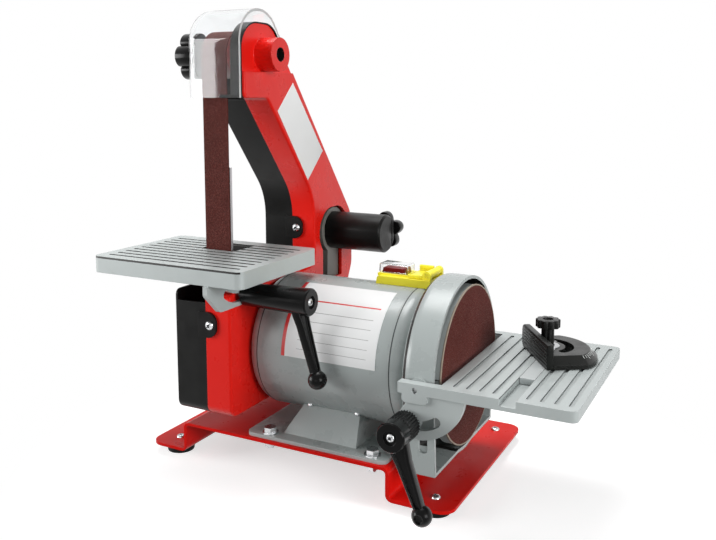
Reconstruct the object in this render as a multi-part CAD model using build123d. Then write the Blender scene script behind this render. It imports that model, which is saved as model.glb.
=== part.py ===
# Belt and disc sander for the bench, built as an assembly of separate pieces, in millimetres.
# X runs along the motor axis towards the disc, Y to the back, Z up; zero is on that axis at the
# face of the abrasive disc. At the end everything is moved onto the ground, under its middle.
import math
import os

from build123d import *

# Clearances, how far a cutter runs past the face it cuts, and the size of an open-ended cutter
running_fit = 0.05
seat_fit = 0.02
face_gap = 0.4
over = 1.0
far = 400.0

# Screws and bolts; each ratio is taken of the radius of the shank
screw_head_ratio = 1.9
wide_head_ratio = 1.95
head_height_ratio = 1.1
head_round_ratio = 0.6
key_ratio = 0.75
key_floor_ratio = 0.5
hex_ratio = 1.8
hex_height_ratio = 1.3
washer_ratio = 2.2
washer_thickness = 1.2
nut_height = 5.0
bolt_tail = 2.0
small_screw_radius = 2.0

# Abrasive disc
disc_radius = 62.5
grit_thickness = 1.0
disc_thickness = 8.0
disc_hub_radius = 17.0
disc_hub_length = 13.0
set_screw_radius = 2.5
set_screw_sink = 1.0
set_screw_key = 1.4
set_screw_key_depth = 3.0

# Disc guard
guard_air = 4.5
guard_floor_air = 3.0
guard_wall = 2.5
guard_setback = 3.0
guard_depth = 28.0
guard_taper = 5.5
guard_shoulder = 10.0
guard_boss_radius = 7.0
guard_shaft_air = 1.5
clamp_boss_radius = 8.0
clamp_boss_root = 6.0
window_x = -12.0
window_z = -43.0
window_height = 15.0
window_width = 7.0
window_cut = 12.0

# Motor
motor_radius = 56.5
motor_length = 143.0
motor_wall = 3.0
bell_depth = 15.0
bell_round = 11.0
shaft_radius = 7.0
shaft_air = 1.0
shaft_stud_radius = 5.0
shaft_stud_length = 7.0
shaft_cover = 3.0
bearing_radius = 16.0
bearing_width = 10.0
bearing_wall = 4.0
rotor_radius = 32.0
core_length = 54.0
air_gap = 0.6
winding_length = 15.0
winding_shell_air = 6.0
winding_wall = 11.5
winding_round_ratio = 0.35
fan_radius = 44.0
fan_width = 9.0
fan_gap = 2.0
fan_plate = 2.0
fan_hub_radius = 14.0
fan_blades = 8
fan_blade_half = 1.0
face_screw_circle = 27.0
face_screw_radius = 2.5
face_screw_bite = 3.0
face_boss_radius = 5.0
face_boss_height = 5.0

# Sheet base and rubber feet
sheet = 2.5
bend = 3.0
base_air = 11.5
base_step = 24.0
base_front = -66.0
base_back = 116.0
plate_left = -234.0
plate_right = -40.0
left_flange = 38.0
right_flange = 50.0
flange_corner = 12.0
foot_radius = 13.0
foot_taper = 1.5
foot_height = 8.0
foot_skin = 2.0
foot_inset = 19.0
foot_screw_radius = 2.0

# Foot of the motor: a pad on the base and a flared pedestal
pad_thickness = 3.0
pad_corner = 6.0
pad_margin_left = 3.0
pad_margin_right = 13.0
pad_half_width = 63.0
pad_bolt_radius = 3.0
pad_bolt_left = 19.5
pad_bolt_right = 14.0
pad_bolt_edge = 7.0
pedestal_half_width = 36.0
pedestal_half_length = 26.0
pedestal_flare_width = 18.0
pedestal_flare_length = 8.5
pedestal_shift = 2.5
pedestal_lean = 3.5
pedestal_wall = 5.0
saddle_wall = 3.0

# Sanding belt and its three wheels
belt_width = 25.0
belt_thickness = 1.0
belt_air = 0.3
belt_edge_room = 1.5
drive_wheel_radius = 40.0
wheel_web_depth = 8.5
wheel_pocket_radius = 15.0
wheel_hub_radius = 19.0
wheel_dish = 8.0
wheel_rim = 5.0
wheel_nut_width = 9.0
wheel_nut_height = 5.5
upper_wheel_radius = 19.0
upper_wheel_height = 243.0
rear_wheel_radius = 27.0
rear_wheel_back = 97.5
rear_wheel_height = 80.0
rear_collar = 1.0
axle_radius = 5.0
axle_collar = 8.0
axle_grip = 4.0
axle_sink = 5.0
axle_key = 2.9
axle_key_depth = 4.0
wheel_bearing_radius = 11.0
wheel_bearing_width = 7.0

# Belt housing: frame on the motor side, cover on the outer side
frame_width = 24.0
frame_wall = 3.0
frame_round = 2.0
frame_shaft_air = 2.0
cover_width = 31.0
cover_wall = 2.5
cover_round = 1.2
cover_mouth = 28.0
cover_mouth_drop = 6.0
cover_front_drop = 9.0
housing_room = 1.7
housing_reach = 38.0
housing_floor_room = 6.0
housing_shelf = 52.0
housing_corner = 8.0
shelf_corner = 5.0
arm_front = 55.5
arm_root_round = 12.0
arm_bend_height = 116.0
arm_bend_round = 55.0
head_front = -53.0
head_front_round = 22.0
head_rear_round = 20.0
head_floor = 207.5
head_floor_corner = 4.0
head_step = -19.5
head_step_round = 6.0
head_opening_back = 10.0
head_rim = 12.0
head_recess_height = 229.0
rear_bend_round = 35.0
rear_foot_rise = 30.0
rear_foot_back = 10.0
rear_foot_round = 20.0
boss_radius = 13.8
boss_length = 14.0
boss_hole_radius = 5.8
edging_thickness = 1.2
edging_back = 0.0
tab_thickness = 2.5
tab_half = 10.5
tab_reach = 11.5
tab_screw = 5.5
tab_root = 6.0
tab_corner = 8.5
arm_tab_height = 87.0
front_tab_height = 26.0
rear_tab_height = 62.0

# Clear shield over the upper wheel
shield_wall = 2.2
shield_air = 4.0
shield_rise = 8.0
shield_round = 28.0
shield_side_round = 12.0
shield_floor_gap = 0.5
shield_floor_back = 10.0
shield_rear_rise = 12.0
shield_edge = 2.0

# Belt tension arm with its handle
arm_thickness = 6.0
arm_head_radius = 22.0
arm_stem = 21.0
arm_eye = 3.0
pivot_back = 95.0
pivot_height = 12.0
pivot_radius = 5.0
pivot_tail = 12.0
pivot_head = 3.0
pivot_clip = 1.5
pivot_flange_radius = 9.0
arm_travel = 9.0
stem_room_front = 13.5
stem_room_back = 2.5
stem_room_low = 22.0
handle_radius = 18.0
handle_flat = 15.0
handle_length = 55.0
handle_chamfer = 2.5
handle_opening = 23.5
spring_wire = 2.5
spring_room = 1.0
spring_side = 0.5

# Star knobs
star_radius = 19.5
star_core_ratio = 0.76
star_height = 16.0
star_chamfer = 1.5
star_lobes = 7
star_stud_radius = 4.0
star_neck_radius = 11.0
star_neck_length = 6.0
star_bore = 6.0
tracking_inset = 12.0
tracking_neck = 2.0
tracking_grip = 9.0
tracking_stud_in = 6.0
tracking_stud_out = 7.5

# Platen behind the belt
platen_thickness = 2.5
platen_foot = 26.0
platen_wing = 20.0
platen_wing_depth = 22.0
platen_top = 150.0
platen_side = 0.5
platen_screw_inset = 14.0

# Table of the belt
belt_table_height = 80.0
belt_table_left = -287.0
belt_table_right = -140.0
belt_table_front = -110.0
belt_table_back = 2.0
belt_table_plate = 6.0
belt_table_rim = 13.5
belt_table_wall = 6.0
belt_table_corner = 6.0
belt_table_tilt_y = -71.0
slot_room_side = 5.0
slot_room_front = 2.0
slot_back = -14.0
ear_thickness = 4.0
ear_margin = 8.0
ear_front = -112.0
ear_step = 16.0
ear_front_round = 3.0
ear_low_round = 5.0
tilt_slot_radius = 30.0
tilt_bolt_angle = -75.0
tilt_slot_half = 3.6
tilt_range = 45.0
slot_spare = 4.0
guide_pin_angle = 20.0

# Table of the disc
disc_table_top = 6.0
disc_table_plate = 8.0
disc_table_left = -27.0
disc_table_right = 101.0
disc_table_half = 78.5
disc_table_corner = 5.0
disc_table_gap = 4.0
disc_table_yoke = 8.0
table_guard_room = 1.5
table_arm = 7.5
hinge_x = -14.0
hinge_z = 1.0
hinge_pin_radius = 2.0
hinge_pin_sink = 3.0
hinge_pin_spare = 0.5
hinge_lug_half = 9.75
hinge_lug_drop = 9.5
hinge_lug_chamfer = 2.0
trunnion_thickness = 5.0
trunnion_radius = 37.0
trunnion_end = 125.0
clamp_x = -20.0
clamp_z = -25.0
groove_width = 3.0
groove_depth = 1.2
groove_pitch = 9.6
groove_margin = 8.0
groove_land = 1.0

# Clamp levers
clamp_bolt_radius = 3.0
clamp_bolt_grip = 18.0
lever_hub_radius = 11.0
lever_hub_taper = 1.8
lever_arm_width = 13.0
lever_arm_thickness = 7.0
lever_arm_taper = 2.5
lever_ball_radius = 7.5
lever_channel_wall = 4.5
lever_channel_margin = 3.0
lever_channel_depth = 2.0
lever_screw_radius = 1.75
lever_screw_depth = 8.0
lever_motor_air = 2.8
belt_lever_length = 62.0
belt_lever_reach = 60.0
belt_lever_root = 13.0
belt_lever_splay = 18.0
disc_lever_length = 30.0
disc_lever_reach = 59.0
disc_lever_root = 8.5
disc_lever_splay = 0.0
disc_lever_lean = 21.0

# Mitre gauge
mitre_slot_left = 48.0
mitre_slot_width = 12.0
mitre_slot_depth = 5.0
mitre_bar_gap = 0.3
mitre_bar_length = 100.0
mitre_bar_front = -30.0
mitre_pivot_y = 26.0
mitre_angle = -57.0
mitre_radius = 38.0
mitre_rim = 4.5
mitre_base = 9.0
mitre_fence_length = 64.0
mitre_fence_height = 19.0
mitre_fence_thickness = 5.0
mitre_fence_room = 0.6
mitre_slot_radius = 17.0
mitre_slot_start = 25.0
mitre_slot_sweep = 130.0
mitre_stud_radius = 3.0
mitre_stud_sink = 0.5
mitre_stud_grip = 2.0
mitre_knob_radius = 9.5
mitre_knob_chamfer = 1.0
mitre_knob_hole_radius = 2.5
mitre_knob_hole_depth = 2.0
mitre_grip_height = 6.5
mitre_knob_rise = 5.0
mitre_stem_radius = 5.2
knob_flutes = 18
flute_radius = 1.0
flute_shift = 0.4

# Switch on the motor, and the gland for its cable
switch_left = -85.0
switch_right = -34.0
switch_front = -2.0
switch_back = 30.0
switch_rise = 6.5
switch_root = 16.5
switch_slope = 4.0
switch_round = 2.0
bezel_width = 2.0
bezel_height = 1.5
rocker_length = 21.0
rocker_width = 13.0
rocker_inset = 5.0
rocker_shift = 2.0
rocker_sink = 1.5
rocker_room_end = 0.8
rocker_room_side = 0.5
rocker_pocket = 7.0
rocker_under = 2.0
rocker_low_end = 3.5
rocker_valley = 2.6
rocker_high_end = 5.5
rocker_round = 1.0
flap_thickness = 3.0
flap_room = 4.0
flap_lip = 2.5
flap_barrel_radius = 3.2
flap_pin_radius = 1.5
flap_pin_inset = 4.0
flap_pin_rise = 2.0
flap_ear_width = 3.5
flap_ear_inset = 2.0
flap_ear_radius = 3.5
gland_radius = 7.0
gland_offset = 8.0
gland_inside = 2.0
gland_hex = 10.0
gland_collar = 6.0
gland_nozzle_radius = 7.5
gland_nozzle_length = 11.0
gland_bore = 3.5

# Stations along X
disc_back = -(grit_thickness + disc_thickness)
guard_front = -guard_setback
guard_back = guard_front - guard_depth
motor_right = guard_back
motor_left = motor_right - motor_length
motor_mid = (motor_left + motor_right) / 2
frame_right = motor_left
frame_inner = frame_right - frame_wall
split = frame_right - frame_width
cover_left = split - cover_width
cover_inner = cover_left + cover_wall
belt_right = split - belt_edge_room
belt_left = belt_right - belt_width
wheel_web = belt_left + wheel_web_depth
shaft_end = -(grit_thickness + shaft_cover)
boss_end = frame_right + boss_length
head_rim_left = frame_right - head_rim
shield_right = frame_right - shield_edge
shield_left = cover_left - face_gap - shield_wall

# Heights and depths that follow from the sizes above
guard_radius = disc_radius + guard_air + guard_wall
guard_bottom = -(disc_radius + guard_floor_air + guard_wall)
plate_top = -(motor_radius + base_air)
flange_top = plate_top - base_step
base_left = plate_left - left_flange
base_right = plate_right + right_flange
upper_wheel_y = upper_wheel_radius - drive_wheel_radius
belt_front = -(drive_wheel_radius + belt_air)
wheel_room = belt_air + belt_thickness + housing_room + frame_wall
housing_front = -(drive_wheel_radius + housing_reach)
housing_bottom = -(drive_wheel_radius + belt_air + belt_thickness + housing_floor_room + frame_wall)
housing_rear = rear_wheel_back + rear_wheel_radius + wheel_room
head_top = upper_wheel_height + upper_wheel_radius + wheel_room
arm_right = frame_inner - face_gap
arm_left = arm_right - arm_thickness
upper_axis = (upper_wheel_y, upper_wheel_height)
rear_axis = (rear_wheel_back, rear_wheel_height)
tilt_axis = (belt_table_tilt_y, belt_table_height)
table_arm_inner = guard_radius + table_guard_room
table_arm_outer = table_arm_inner + table_arm
mitre_x = mitre_slot_left + mitre_slot_width / 2
clamp_reach = math.hypot(clamp_x - hinge_x, clamp_z - hinge_z)
clamp_angle = math.degrees(math.atan2(clamp_z - hinge_z, clamp_x - hinge_x))


# Building blocks
def box(x0, x1, y0, y1, z0, z1):
    return Pos((x0 + x1) / 2, (y0 + y1) / 2, (z0 + z1) / 2) * Box(x1 - x0, y1 - y0, z1 - z0)


def rod_x(x0, x1, radius, y=0, z=0):
    return Pos((x0 + x1) / 2, y, z) * Rot(0, 90, 0) * Cylinder(radius, x1 - x0)


def rod_y(y0, y1, radius, x=0, z=0):
    return Pos(x, (y0 + y1) / 2, z) * Rot(90, 0, 0) * Cylinder(radius, y1 - y0)


def rod_z(z0, z1, radius, x=0, y=0):
    return Pos(x, y, (z0 + z1) / 2) * Cylinder(radius, z1 - z0)


# A bore is a rod that runs past both faces.
def bore_x(x0, x1, radius, y=0, z=0):
    return rod_x(x0 - over, x1 + over, radius, y, z)


def bore_y(y0, y1, radius, x=0, z=0):
    return rod_y(y0 - over, y1 + over, radius, x, z)


def bore_z(z0, z1, radius, x=0, y=0):
    return rod_z(z0 - over, z1 + over, radius, x, y)


def tube_x(x0, x1, radius, bore, y=0, z=0):
    return rod_x(x0, x1, radius, y, z) - bore_x(x0, x1, bore, y, z)


def slab_x(face, x0, x1):
    return extrude(Plane.YZ.offset(x0) * face, amount=x1 - x0)


def slab_y(face, y0, y1):
    plane = Plane(origin=(0, y1, 0), x_dir=(1, 0, 0), z_dir=(0, -1, 0))
    return extrude(plane * face, amount=y1 - y0)


def slab_z(face, z0, z1):
    return extrude(Pos(0, 0, z0) * face, amount=z1 - z0)


def outline(corners):
    points = [(a, b) for a, b, radius in corners]
    radii = [radius for a, b, radius in corners]
    return make_face(FilletPolyline(*points, radius=radii, close=True))


def round_ends(shape, axis, end, radius):
    return fillet(shape.edges().group_by(axis)[end], radius)


def hull_of(places, radius):
    circles = [edge for place in places for edge in (Pos(*place) * Circle(radius)).edges()]
    return make_hull(circles)


def arc_slot(centre, radius, start, sweep, half_width):
    arc = CenterArc((0, 0), radius, start, sweep)
    return Pos(*centre) * SlotArc(arc, 2 * half_width)


def set_at(shape, origin, axis, x_dir=None):
    return Plane(origin=origin, x_dir=x_dir, z_dir=axis).location * shape


def on_circle(centre, radius, degrees):
    angle = math.radians(degrees)
    return (centre[0] + radius * math.cos(angle), centre[1] + radius * math.sin(angle))


def ring_points(count, radius, start=45):
    return [on_circle((0, 0), radius, start + 360 * i / count) for i in range(count)]


def round_screw(shank, length, head=screw_head_ratio):
    cap = rod_z(0, head_height_ratio * shank, head * shank)
    cap = round_ends(cap, Axis.Z, -1, head_round_ratio * shank)
    key = extrude(RegularPolygon(key_ratio * shank, 6), head_height_ratio * shank)
    return cap + rod_z(-length, key_floor_ratio * shank, shank) - Pos(0, 0, key_floor_ratio * shank) * key


def hex_bolt(shank, length):
    head = extrude(RegularPolygon(hex_ratio * shank, 6), hex_height_ratio * shank)
    washer = rod_z(0, washer_thickness, washer_ratio * shank)
    return washer + Pos(0, 0, washer_thickness) * head + rod_z(-length, washer_thickness, shank)


def hex_nut(bore, width, height):
    return extrude(RegularPolygon(width, 6) - Circle(bore), height)


# Base
foot_places = [
    (x, y)
    for x in (base_left + foot_inset, base_right - foot_inset)
    for y in (base_front + foot_inset, base_back - foot_inset)
]
pad_left = motor_left + pad_margin_left
pad_right = motor_right - pad_margin_right
pad_top = plate_top + pad_thickness
pad_bolt_y = pad_half_width - pad_bolt_edge
pad_bolt_places = [
    (x, y)
    for x in (pad_left + pad_bolt_left, pad_right - pad_bolt_right)
    for y in (-pad_bolt_y, pad_bolt_y)
]


def base_plate():
    outer = bend + sheet
    face = outline([
        (base_left, flange_top, 0),
        (plate_left, flange_top, bend),
        (plate_left, plate_top, outer),
        (plate_right, plate_top, outer),
        (plate_right, flange_top, bend),
        (base_right, flange_top, 0),
        (base_right, flange_top - sheet, 0),
        (plate_right - sheet, flange_top - sheet, outer),
        (plate_right - sheet, plate_top - sheet, bend),
        (plate_left + sheet, plate_top - sheet, bend),
        (plate_left + sheet, flange_top - sheet, outer),
        (base_left, flange_top - sheet, 0),
    ])
    body = slab_y(face, base_front, base_back)
    ends = body.edges().filter_by(Axis.Z).group_by(Axis.X)
    body = fillet(ends[0] + ends[-1], flange_corner)
    for x, y in foot_places:
        body -= bore_z(flange_top - sheet, flange_top, foot_screw_radius + seat_fit, x, y)
    for x, y in pad_bolt_places:
        body -= bore_z(plate_top - sheet, plate_top, pad_bolt_radius + seat_fit, x, y)
    return body


def rubber_feet():
    top = flange_top - sheet
    foot = Pos(0, 0, top - foot_height / 2) * Cone(foot_radius - foot_taper, foot_radius, foot_height)
    foot -= rod_z(top - foot_height + foot_skin, top + over, foot_screw_radius + seat_fit)
    return [Pos(x, y, 0) * foot for x, y in foot_places]


def foot_screws():
    screw = round_screw(foot_screw_radius, sheet + foot_height - foot_skin - over)
    return [Pos(x, y, flange_top) * screw for x, y in foot_places]


def motor_foot():
    pad = box(pad_left, pad_right, -pad_half_width, pad_half_width, plate_top, pad_top)
    pad = fillet(pad.edges().filter_by(Axis.Z), pad_corner)
    # Flared pedestal, up to where its front and back meet the motor.
    middle = (pad_left + pad_right) / 2 + pedestal_shift
    top = -math.sqrt(motor_radius ** 2 - pedestal_half_width ** 2)
    low_length = 2 * (pedestal_half_length + pedestal_flare_length)
    low_width = 2 * (pedestal_half_width + pedestal_flare_width)
    low = Pos(middle - pedestal_lean, 0, plate_top) * Rectangle(low_length, low_width)
    high = Pos(middle, 0, top) * Rectangle(2 * pedestal_half_length, 2 * pedestal_half_width)
    body = pad + loft([low, high])
    hollow_x = pedestal_half_length - pedestal_wall
    hollow_y = pedestal_half_width - pedestal_wall
    body -= box(middle - hollow_x, middle + hollow_x, -hollow_y, hollow_y,
                plate_top - over, -motor_radius - saddle_wall)
    body -= rod_x(motor_left, motor_right, motor_radius + seat_fit)
    for x, y in pad_bolt_places:
        body -= bore_z(plate_top, pad_top, pad_bolt_radius + seat_fit, x, y)
    return body


def motor_foot_bolts():
    bolt = hex_bolt(pad_bolt_radius, pad_thickness + sheet + nut_height + bolt_tail)
    return [Pos(x, y, pad_top) * bolt for x, y in pad_bolt_places]


def motor_foot_nuts():
    nut = hex_nut(pad_bolt_radius + seat_fit, hex_ratio * pad_bolt_radius, nut_height)
    return [Pos(x, y, plate_top - sheet - nut_height) * nut for x, y in pad_bolt_places]


# Motor
shell_bore = motor_radius - motor_wall
core_left = motor_mid - core_length / 2
core_right = motor_mid + core_length / 2
gland_x = core_right + gland_offset
face_screws = ring_points(4, face_screw_circle)


def motor_shell():
    body = tube_x(motor_left + bell_depth, motor_right - bell_depth, motor_radius, shell_bore)
    return body - rod_y(0, motor_radius + over, gland_radius + seat_fit, gland_x)


def end_bell():
    # Closed end at zero, open end up.
    cup = round_ends(rod_z(0, bell_depth, motor_radius), Axis.Z, 0, bell_round)
    inside = rod_z(motor_wall, bell_depth + over, shell_bore)
    cup -= round_ends(inside, Axis.Z, 0, bell_round - motor_wall)
    cup += rod_z(0, motor_wall + bearing_width, bearing_radius + bearing_wall)
    cup -= rod_z(motor_wall, bell_depth, bearing_radius)
    cup -= rod_z(-over, bell_depth, shaft_radius + shaft_air)
    for a, b in face_screws:
        cup += rod_z(0, motor_wall + face_boss_height, face_boss_radius, a, b)
        cup -= rod_z(-over, motor_wall + face_boss_height - over, face_screw_radius + seat_fit, a, b)
    return cup


def motor_end_bells():
    left = set_at(end_bell(), (motor_left, 0, 0), (1, 0, 0))
    right = set_at(end_bell(), (motor_right, 0, 0), (-1, 0, 0))
    return [left, right]


def motor_face_screws():
    # One set holds the belt frame, the other holds the disc guard.
    frame_screw = round_screw(face_screw_radius, frame_wall + motor_wall + face_screw_bite)
    guard_screw = round_screw(face_screw_radius, guard_wall + motor_wall + face_screw_bite)
    screws = []
    for a, b in face_screws:
        screws.append(set_at(frame_screw, (frame_inner, a, b), (-1, 0, 0)))
        screws.append(set_at(guard_screw, (guard_back + guard_wall, a, b), (1, 0, 0)))
    return screws


def stator_core():
    return tube_x(core_left, core_right, shell_bore - seat_fit, rotor_radius + air_gap)


def stator_windings():
    outer = shell_bore - winding_shell_air
    ring = tube_x(0, winding_length, outer, outer - winding_wall)
    ring = fillet(ring.edges(), winding_round_ratio * winding_wall)
    return [Pos(core_left - winding_length, 0, 0) * ring, Pos(core_right, 0, 0) * ring]


def motor_bearings():
    ring = tube_x(0, bearing_width, bearing_radius - seat_fit, shaft_radius + running_fit)
    return [
        Pos(motor_left + motor_wall, 0, 0) * ring,
        Pos(motor_right - motor_wall - bearing_width, 0, 0) * ring,
    ]


def motor_shaft():
    stud = rod_x(wheel_web - shaft_stud_length, wheel_web, shaft_stud_radius)
    return rod_x(wheel_web, shaft_end, shaft_radius) + stud


def rotor_core():
    return tube_x(core_left, core_right, rotor_radius, shaft_radius)


def cooling_fan():
    left = core_right + winding_length + fan_gap
    right = left + fan_width
    body = rod_x(left, left + fan_plate, fan_radius) + rod_x(left, right, fan_hub_radius)
    blade = box(left, right, fan_hub_radius - over, fan_radius, -fan_blade_half, fan_blade_half)
    for i in range(fan_blades):
        body += Rot(360 * i / fan_blades, 0, 0) * blade
    return body - bore_x(left, right, shaft_radius)


# Disc side
def tombstone(radius, bottom, taper):
    low = radius - taper
    sides = Polyline((-radius, 0), (radius, 0), (low, bottom), (-low, bottom), close=True)
    return Circle(radius) + make_face(sides)


def disc_guard():
    outside = slab_x(tombstone(guard_radius, guard_bottom, guard_taper), guard_back, guard_front)
    outside = round_ends(outside, Axis.X, 0, guard_shoulder)
    cavity_radius = guard_radius - guard_wall
    cavity_face = tombstone(cavity_radius, guard_bottom + guard_wall, guard_taper)
    cavity = slab_x(cavity_face, guard_back + guard_wall, guard_front + over)
    cavity = round_ends(cavity, Axis.X, 0, guard_shoulder - guard_wall)
    # Bosses for the hinge pins on both sides, and for the clamp bolt in front.
    side = table_arm_inner - face_gap
    outside += rod_y(-side, -cavity_radius, guard_boss_radius, hinge_x, hinge_z)
    outside += rod_y(cavity_radius, side, guard_boss_radius, hinge_x, hinge_z)
    outside += rod_y(-side, -(guard_radius - clamp_boss_root), clamp_boss_radius, clamp_x, clamp_z)
    body = outside - cavity
    body -= bore_x(guard_back, guard_back + guard_wall, shaft_radius + guard_shaft_air)
    body -= bore_y(-side, side, hinge_pin_radius + seat_fit, hinge_x, hinge_z)
    body -= rod_y(-side - over, 0, clamp_bolt_radius + seat_fit, clamp_x, clamp_z)
    for a, b in face_screws:
        body -= bore_x(guard_back, guard_back + guard_wall, face_screw_radius + seat_fit, a, b)
    window = Pos(window_x, window_z) * SlotOverall(window_height, window_width, rotation=90)
    return body - slab_y(window, -guard_radius, window_cut - guard_radius)


disc_hub_left = disc_back - disc_hub_length
set_screw_x = disc_back - disc_hub_length / 2


def disc_plate():
    body = rod_x(disc_back, -grit_thickness, disc_radius)
    body += rod_x(disc_hub_left, disc_back + over, disc_hub_radius)
    body -= rod_x(disc_hub_left - over, shaft_end, shaft_radius)
    return body - rod_z(0, disc_hub_radius + over, set_screw_radius + seat_fit, set_screw_x)


def disc_set_screw():
    top = disc_hub_radius - set_screw_sink
    screw = rod_z(shaft_radius + seat_fit, top, set_screw_radius, set_screw_x)
    key = extrude(RegularPolygon(set_screw_key, 6), set_screw_key_depth + over)
    return screw - Pos(set_screw_x, 0, top - set_screw_key_depth) * key


def abrasive_disc():
    return rod_x(-grit_thickness, 0, disc_radius)


# Switch and cable gland
switch_top = motor_radius + switch_rise
rocker_x = switch_left + rocker_inset + rocker_length / 2
rocker_y = (switch_front + switch_back) / 2 - rocker_shift
rocker_z = switch_top - rocker_sink
flap_pin_x = switch_right - flap_pin_inset
flap_pin_z = switch_top + flap_pin_radius + flap_pin_rise
flap_ear_front = switch_front + flap_ear_inset
flap_ear_back = switch_back - flap_ear_inset


def rocker_block(margin, z0, z1):
    half_x = rocker_length / 2 + rocker_room_end + margin
    half_y = rocker_width / 2 + rocker_room_side + margin
    return box(rocker_x - half_x, rocker_x + half_x, rocker_y - half_y, rocker_y + half_y, z0, z1)


def switch_box():
    root = motor_radius - switch_root
    side = outline([
        (switch_left, root, 0),
        (switch_right, root, 0),
        (switch_right, switch_top, switch_round),
        (switch_left + switch_slope, switch_top, switch_round),
    ])
    body = slab_y(side, switch_front, switch_back)
    body -= rod_x(motor_left, motor_right, motor_radius + seat_fit)
    body += rocker_block(bezel_width, switch_top - over, switch_top + bezel_height)
    body -= rocker_block(0, switch_top - rocker_pocket, switch_top + bezel_height + over)
    for y0 in (flap_ear_front, flap_ear_back - flap_ear_width):
        y1 = y0 + flap_ear_width
        body += rod_y(y0, y1, flap_ear_radius, flap_pin_x, flap_pin_z)
        body += box(flap_pin_x - flap_ear_radius, flap_pin_x + flap_ear_radius, y0, y1,
                    switch_top - over, flap_pin_z)
    pin_hole = flap_pin_radius + running_fit
    return body - bore_y(flap_ear_front, flap_ear_back, pin_hole, flap_pin_x, flap_pin_z)


def switch_rocker():
    half = rocker_length / 2
    side = outline([
        (-half, -rocker_under, rocker_round),
        (half, -rocker_under, rocker_round),
        (half, rocker_low_end, rocker_round),
        (0, rocker_valley, 0),
        (-half, rocker_high_end, rocker_round),
    ])
    body = slab_y(side, -rocker_width / 2, rocker_width / 2)
    return Pos(rocker_x, rocker_y, rocker_z) * body


def switch_flap():
    front = flap_ear_front + flap_ear_width + face_gap
    back = flap_ear_back - flap_ear_width - face_gap
    left = rocker_x + rocker_length / 2 + flap_room
    top = flap_pin_z + flap_barrel_radius
    body = rod_y(front, back, flap_barrel_radius, flap_pin_x, flap_pin_z)
    body += box(left, flap_pin_x, front, back, top - flap_thickness, top)
    body += box(left, left + flap_lip, front, back, switch_top + face_gap, top)
    return body + rod_y(flap_ear_front, flap_ear_back, flap_pin_radius, flap_pin_x, flap_pin_z)


def cable_gland():
    collar_end = motor_radius + gland_collar
    nozzle_end = collar_end + gland_nozzle_length
    body = rod_y(shell_bore - gland_inside, motor_radius + over, gland_radius, gland_x)
    collar = extrude(RegularPolygon(gland_hex, 6), gland_collar)
    body += Pos(gland_x, collar_end, 0) * Rot(90, 0, 0) * collar
    body += rod_y(collar_end, nozzle_end, gland_nozzle_radius, gland_x)
    return body - bore_y(shell_bore - gland_inside, nozzle_end, gland_bore, gland_x)


# Belt drive
def belt_loop(offset):
    wheels = Circle(drive_wheel_radius + offset)
    wheels += Pos(*upper_axis) * Circle(upper_wheel_radius + offset)
    wheels += Pos(*rear_axis) * Circle(rear_wheel_radius + offset)
    return make_hull(wheels.edges())


def sanding_belt():
    face = belt_loop(belt_air + belt_thickness) - belt_loop(belt_air)
    return slab_x(face, belt_left, belt_right)


def drive_wheel():
    body = rod_x(belt_left, belt_right, drive_wheel_radius)
    body -= rod_x(belt_left - over, wheel_web, wheel_pocket_radius)
    for x0, x1 in ((belt_left - over, belt_left + wheel_dish), (belt_right - wheel_dish, belt_right + over)):
        body -= tube_x(x0, x1, drive_wheel_radius - wheel_rim, wheel_hub_radius)
    return body - rod_x(wheel_web, belt_right + over, shaft_radius)


def drive_wheel_nut():
    nut = hex_nut(shaft_stud_radius + seat_fit, wheel_nut_width, wheel_nut_height)
    return set_at(nut, (wheel_web, 0, 0), (-1, 0, 0))


def idler(radius, axis):
    return tube_x(belt_left, belt_right, radius, wheel_bearing_radius, *axis)


def idler_bearings(axis):
    bore = axle_radius + running_fit
    outer = wheel_bearing_radius
    return [
        tube_x(belt_left, belt_left + wheel_bearing_width, outer, bore, *axis),
        tube_x(belt_right - wheel_bearing_width, belt_right, outer, bore, *axis),
    ]


def upper_axle():
    # The thinner end on the left takes the shield and its knob.
    seat = shield_left + shield_wall
    stud_left = shield_left - star_neck_length - axle_grip
    end = boss_end - axle_sink
    body = rod_x(stud_left, seat + over, star_stud_radius, *upper_axis)
    body += rod_x(seat, end, axle_radius, *upper_axis)
    body += rod_x(seat, belt_left - face_gap, axle_collar, *upper_axis)
    body += rod_x(belt_right + face_gap, frame_inner - frame_wall, axle_collar, *upper_axis)
    key = extrude(RegularPolygon(axle_key, 6), axle_key_depth + over)
    return body - set_at(key, (end - axle_key_depth, *upper_axis), (1, 0, 0))


def rear_axle():
    collar = belt_left - face_gap
    body = rod_x(collar - rear_collar, arm_left, axle_radius, *rear_axis)
    body += rod_x(collar - rear_collar, collar, axle_collar, *rear_axis)
    return body + rod_x(belt_right + face_gap, arm_left, axle_collar, *rear_axis)


# Clamp bolt and guide pin on which the belt table tilts
belt_bolt = on_circle(tilt_axis, tilt_slot_radius, tilt_bolt_angle)
guide_pin = on_circle(tilt_axis, tilt_slot_radius, tilt_bolt_angle + guide_pin_angle)


# Belt housing
shield_front = head_front - shield_air
shield_top = head_top + shield_air + shield_rise
shield_room = wheel_room + shield_air
shield_floor = head_floor + shield_floor_gap
shield_low = upper_wheel_height + shield_rear_rise


def rear_line():
    # Outer tangent of the upper and the rear wheel, with the room round them.
    dy = rear_axis[0] - upper_axis[0]
    dz = rear_axis[1] - upper_axis[1]
    lean = math.acos((upper_wheel_radius - rear_wheel_radius) / math.hypot(dy, dz))
    angle = math.atan2(dz, dy) + lean
    ny = math.cos(angle)
    nz = math.sin(angle)
    return ny, nz, ny * upper_axis[0] + nz * upper_axis[1] + upper_wheel_radius


def rear_y(z, room):
    ny, nz, reach = rear_line()
    return (reach + room - nz * z) / ny


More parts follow.
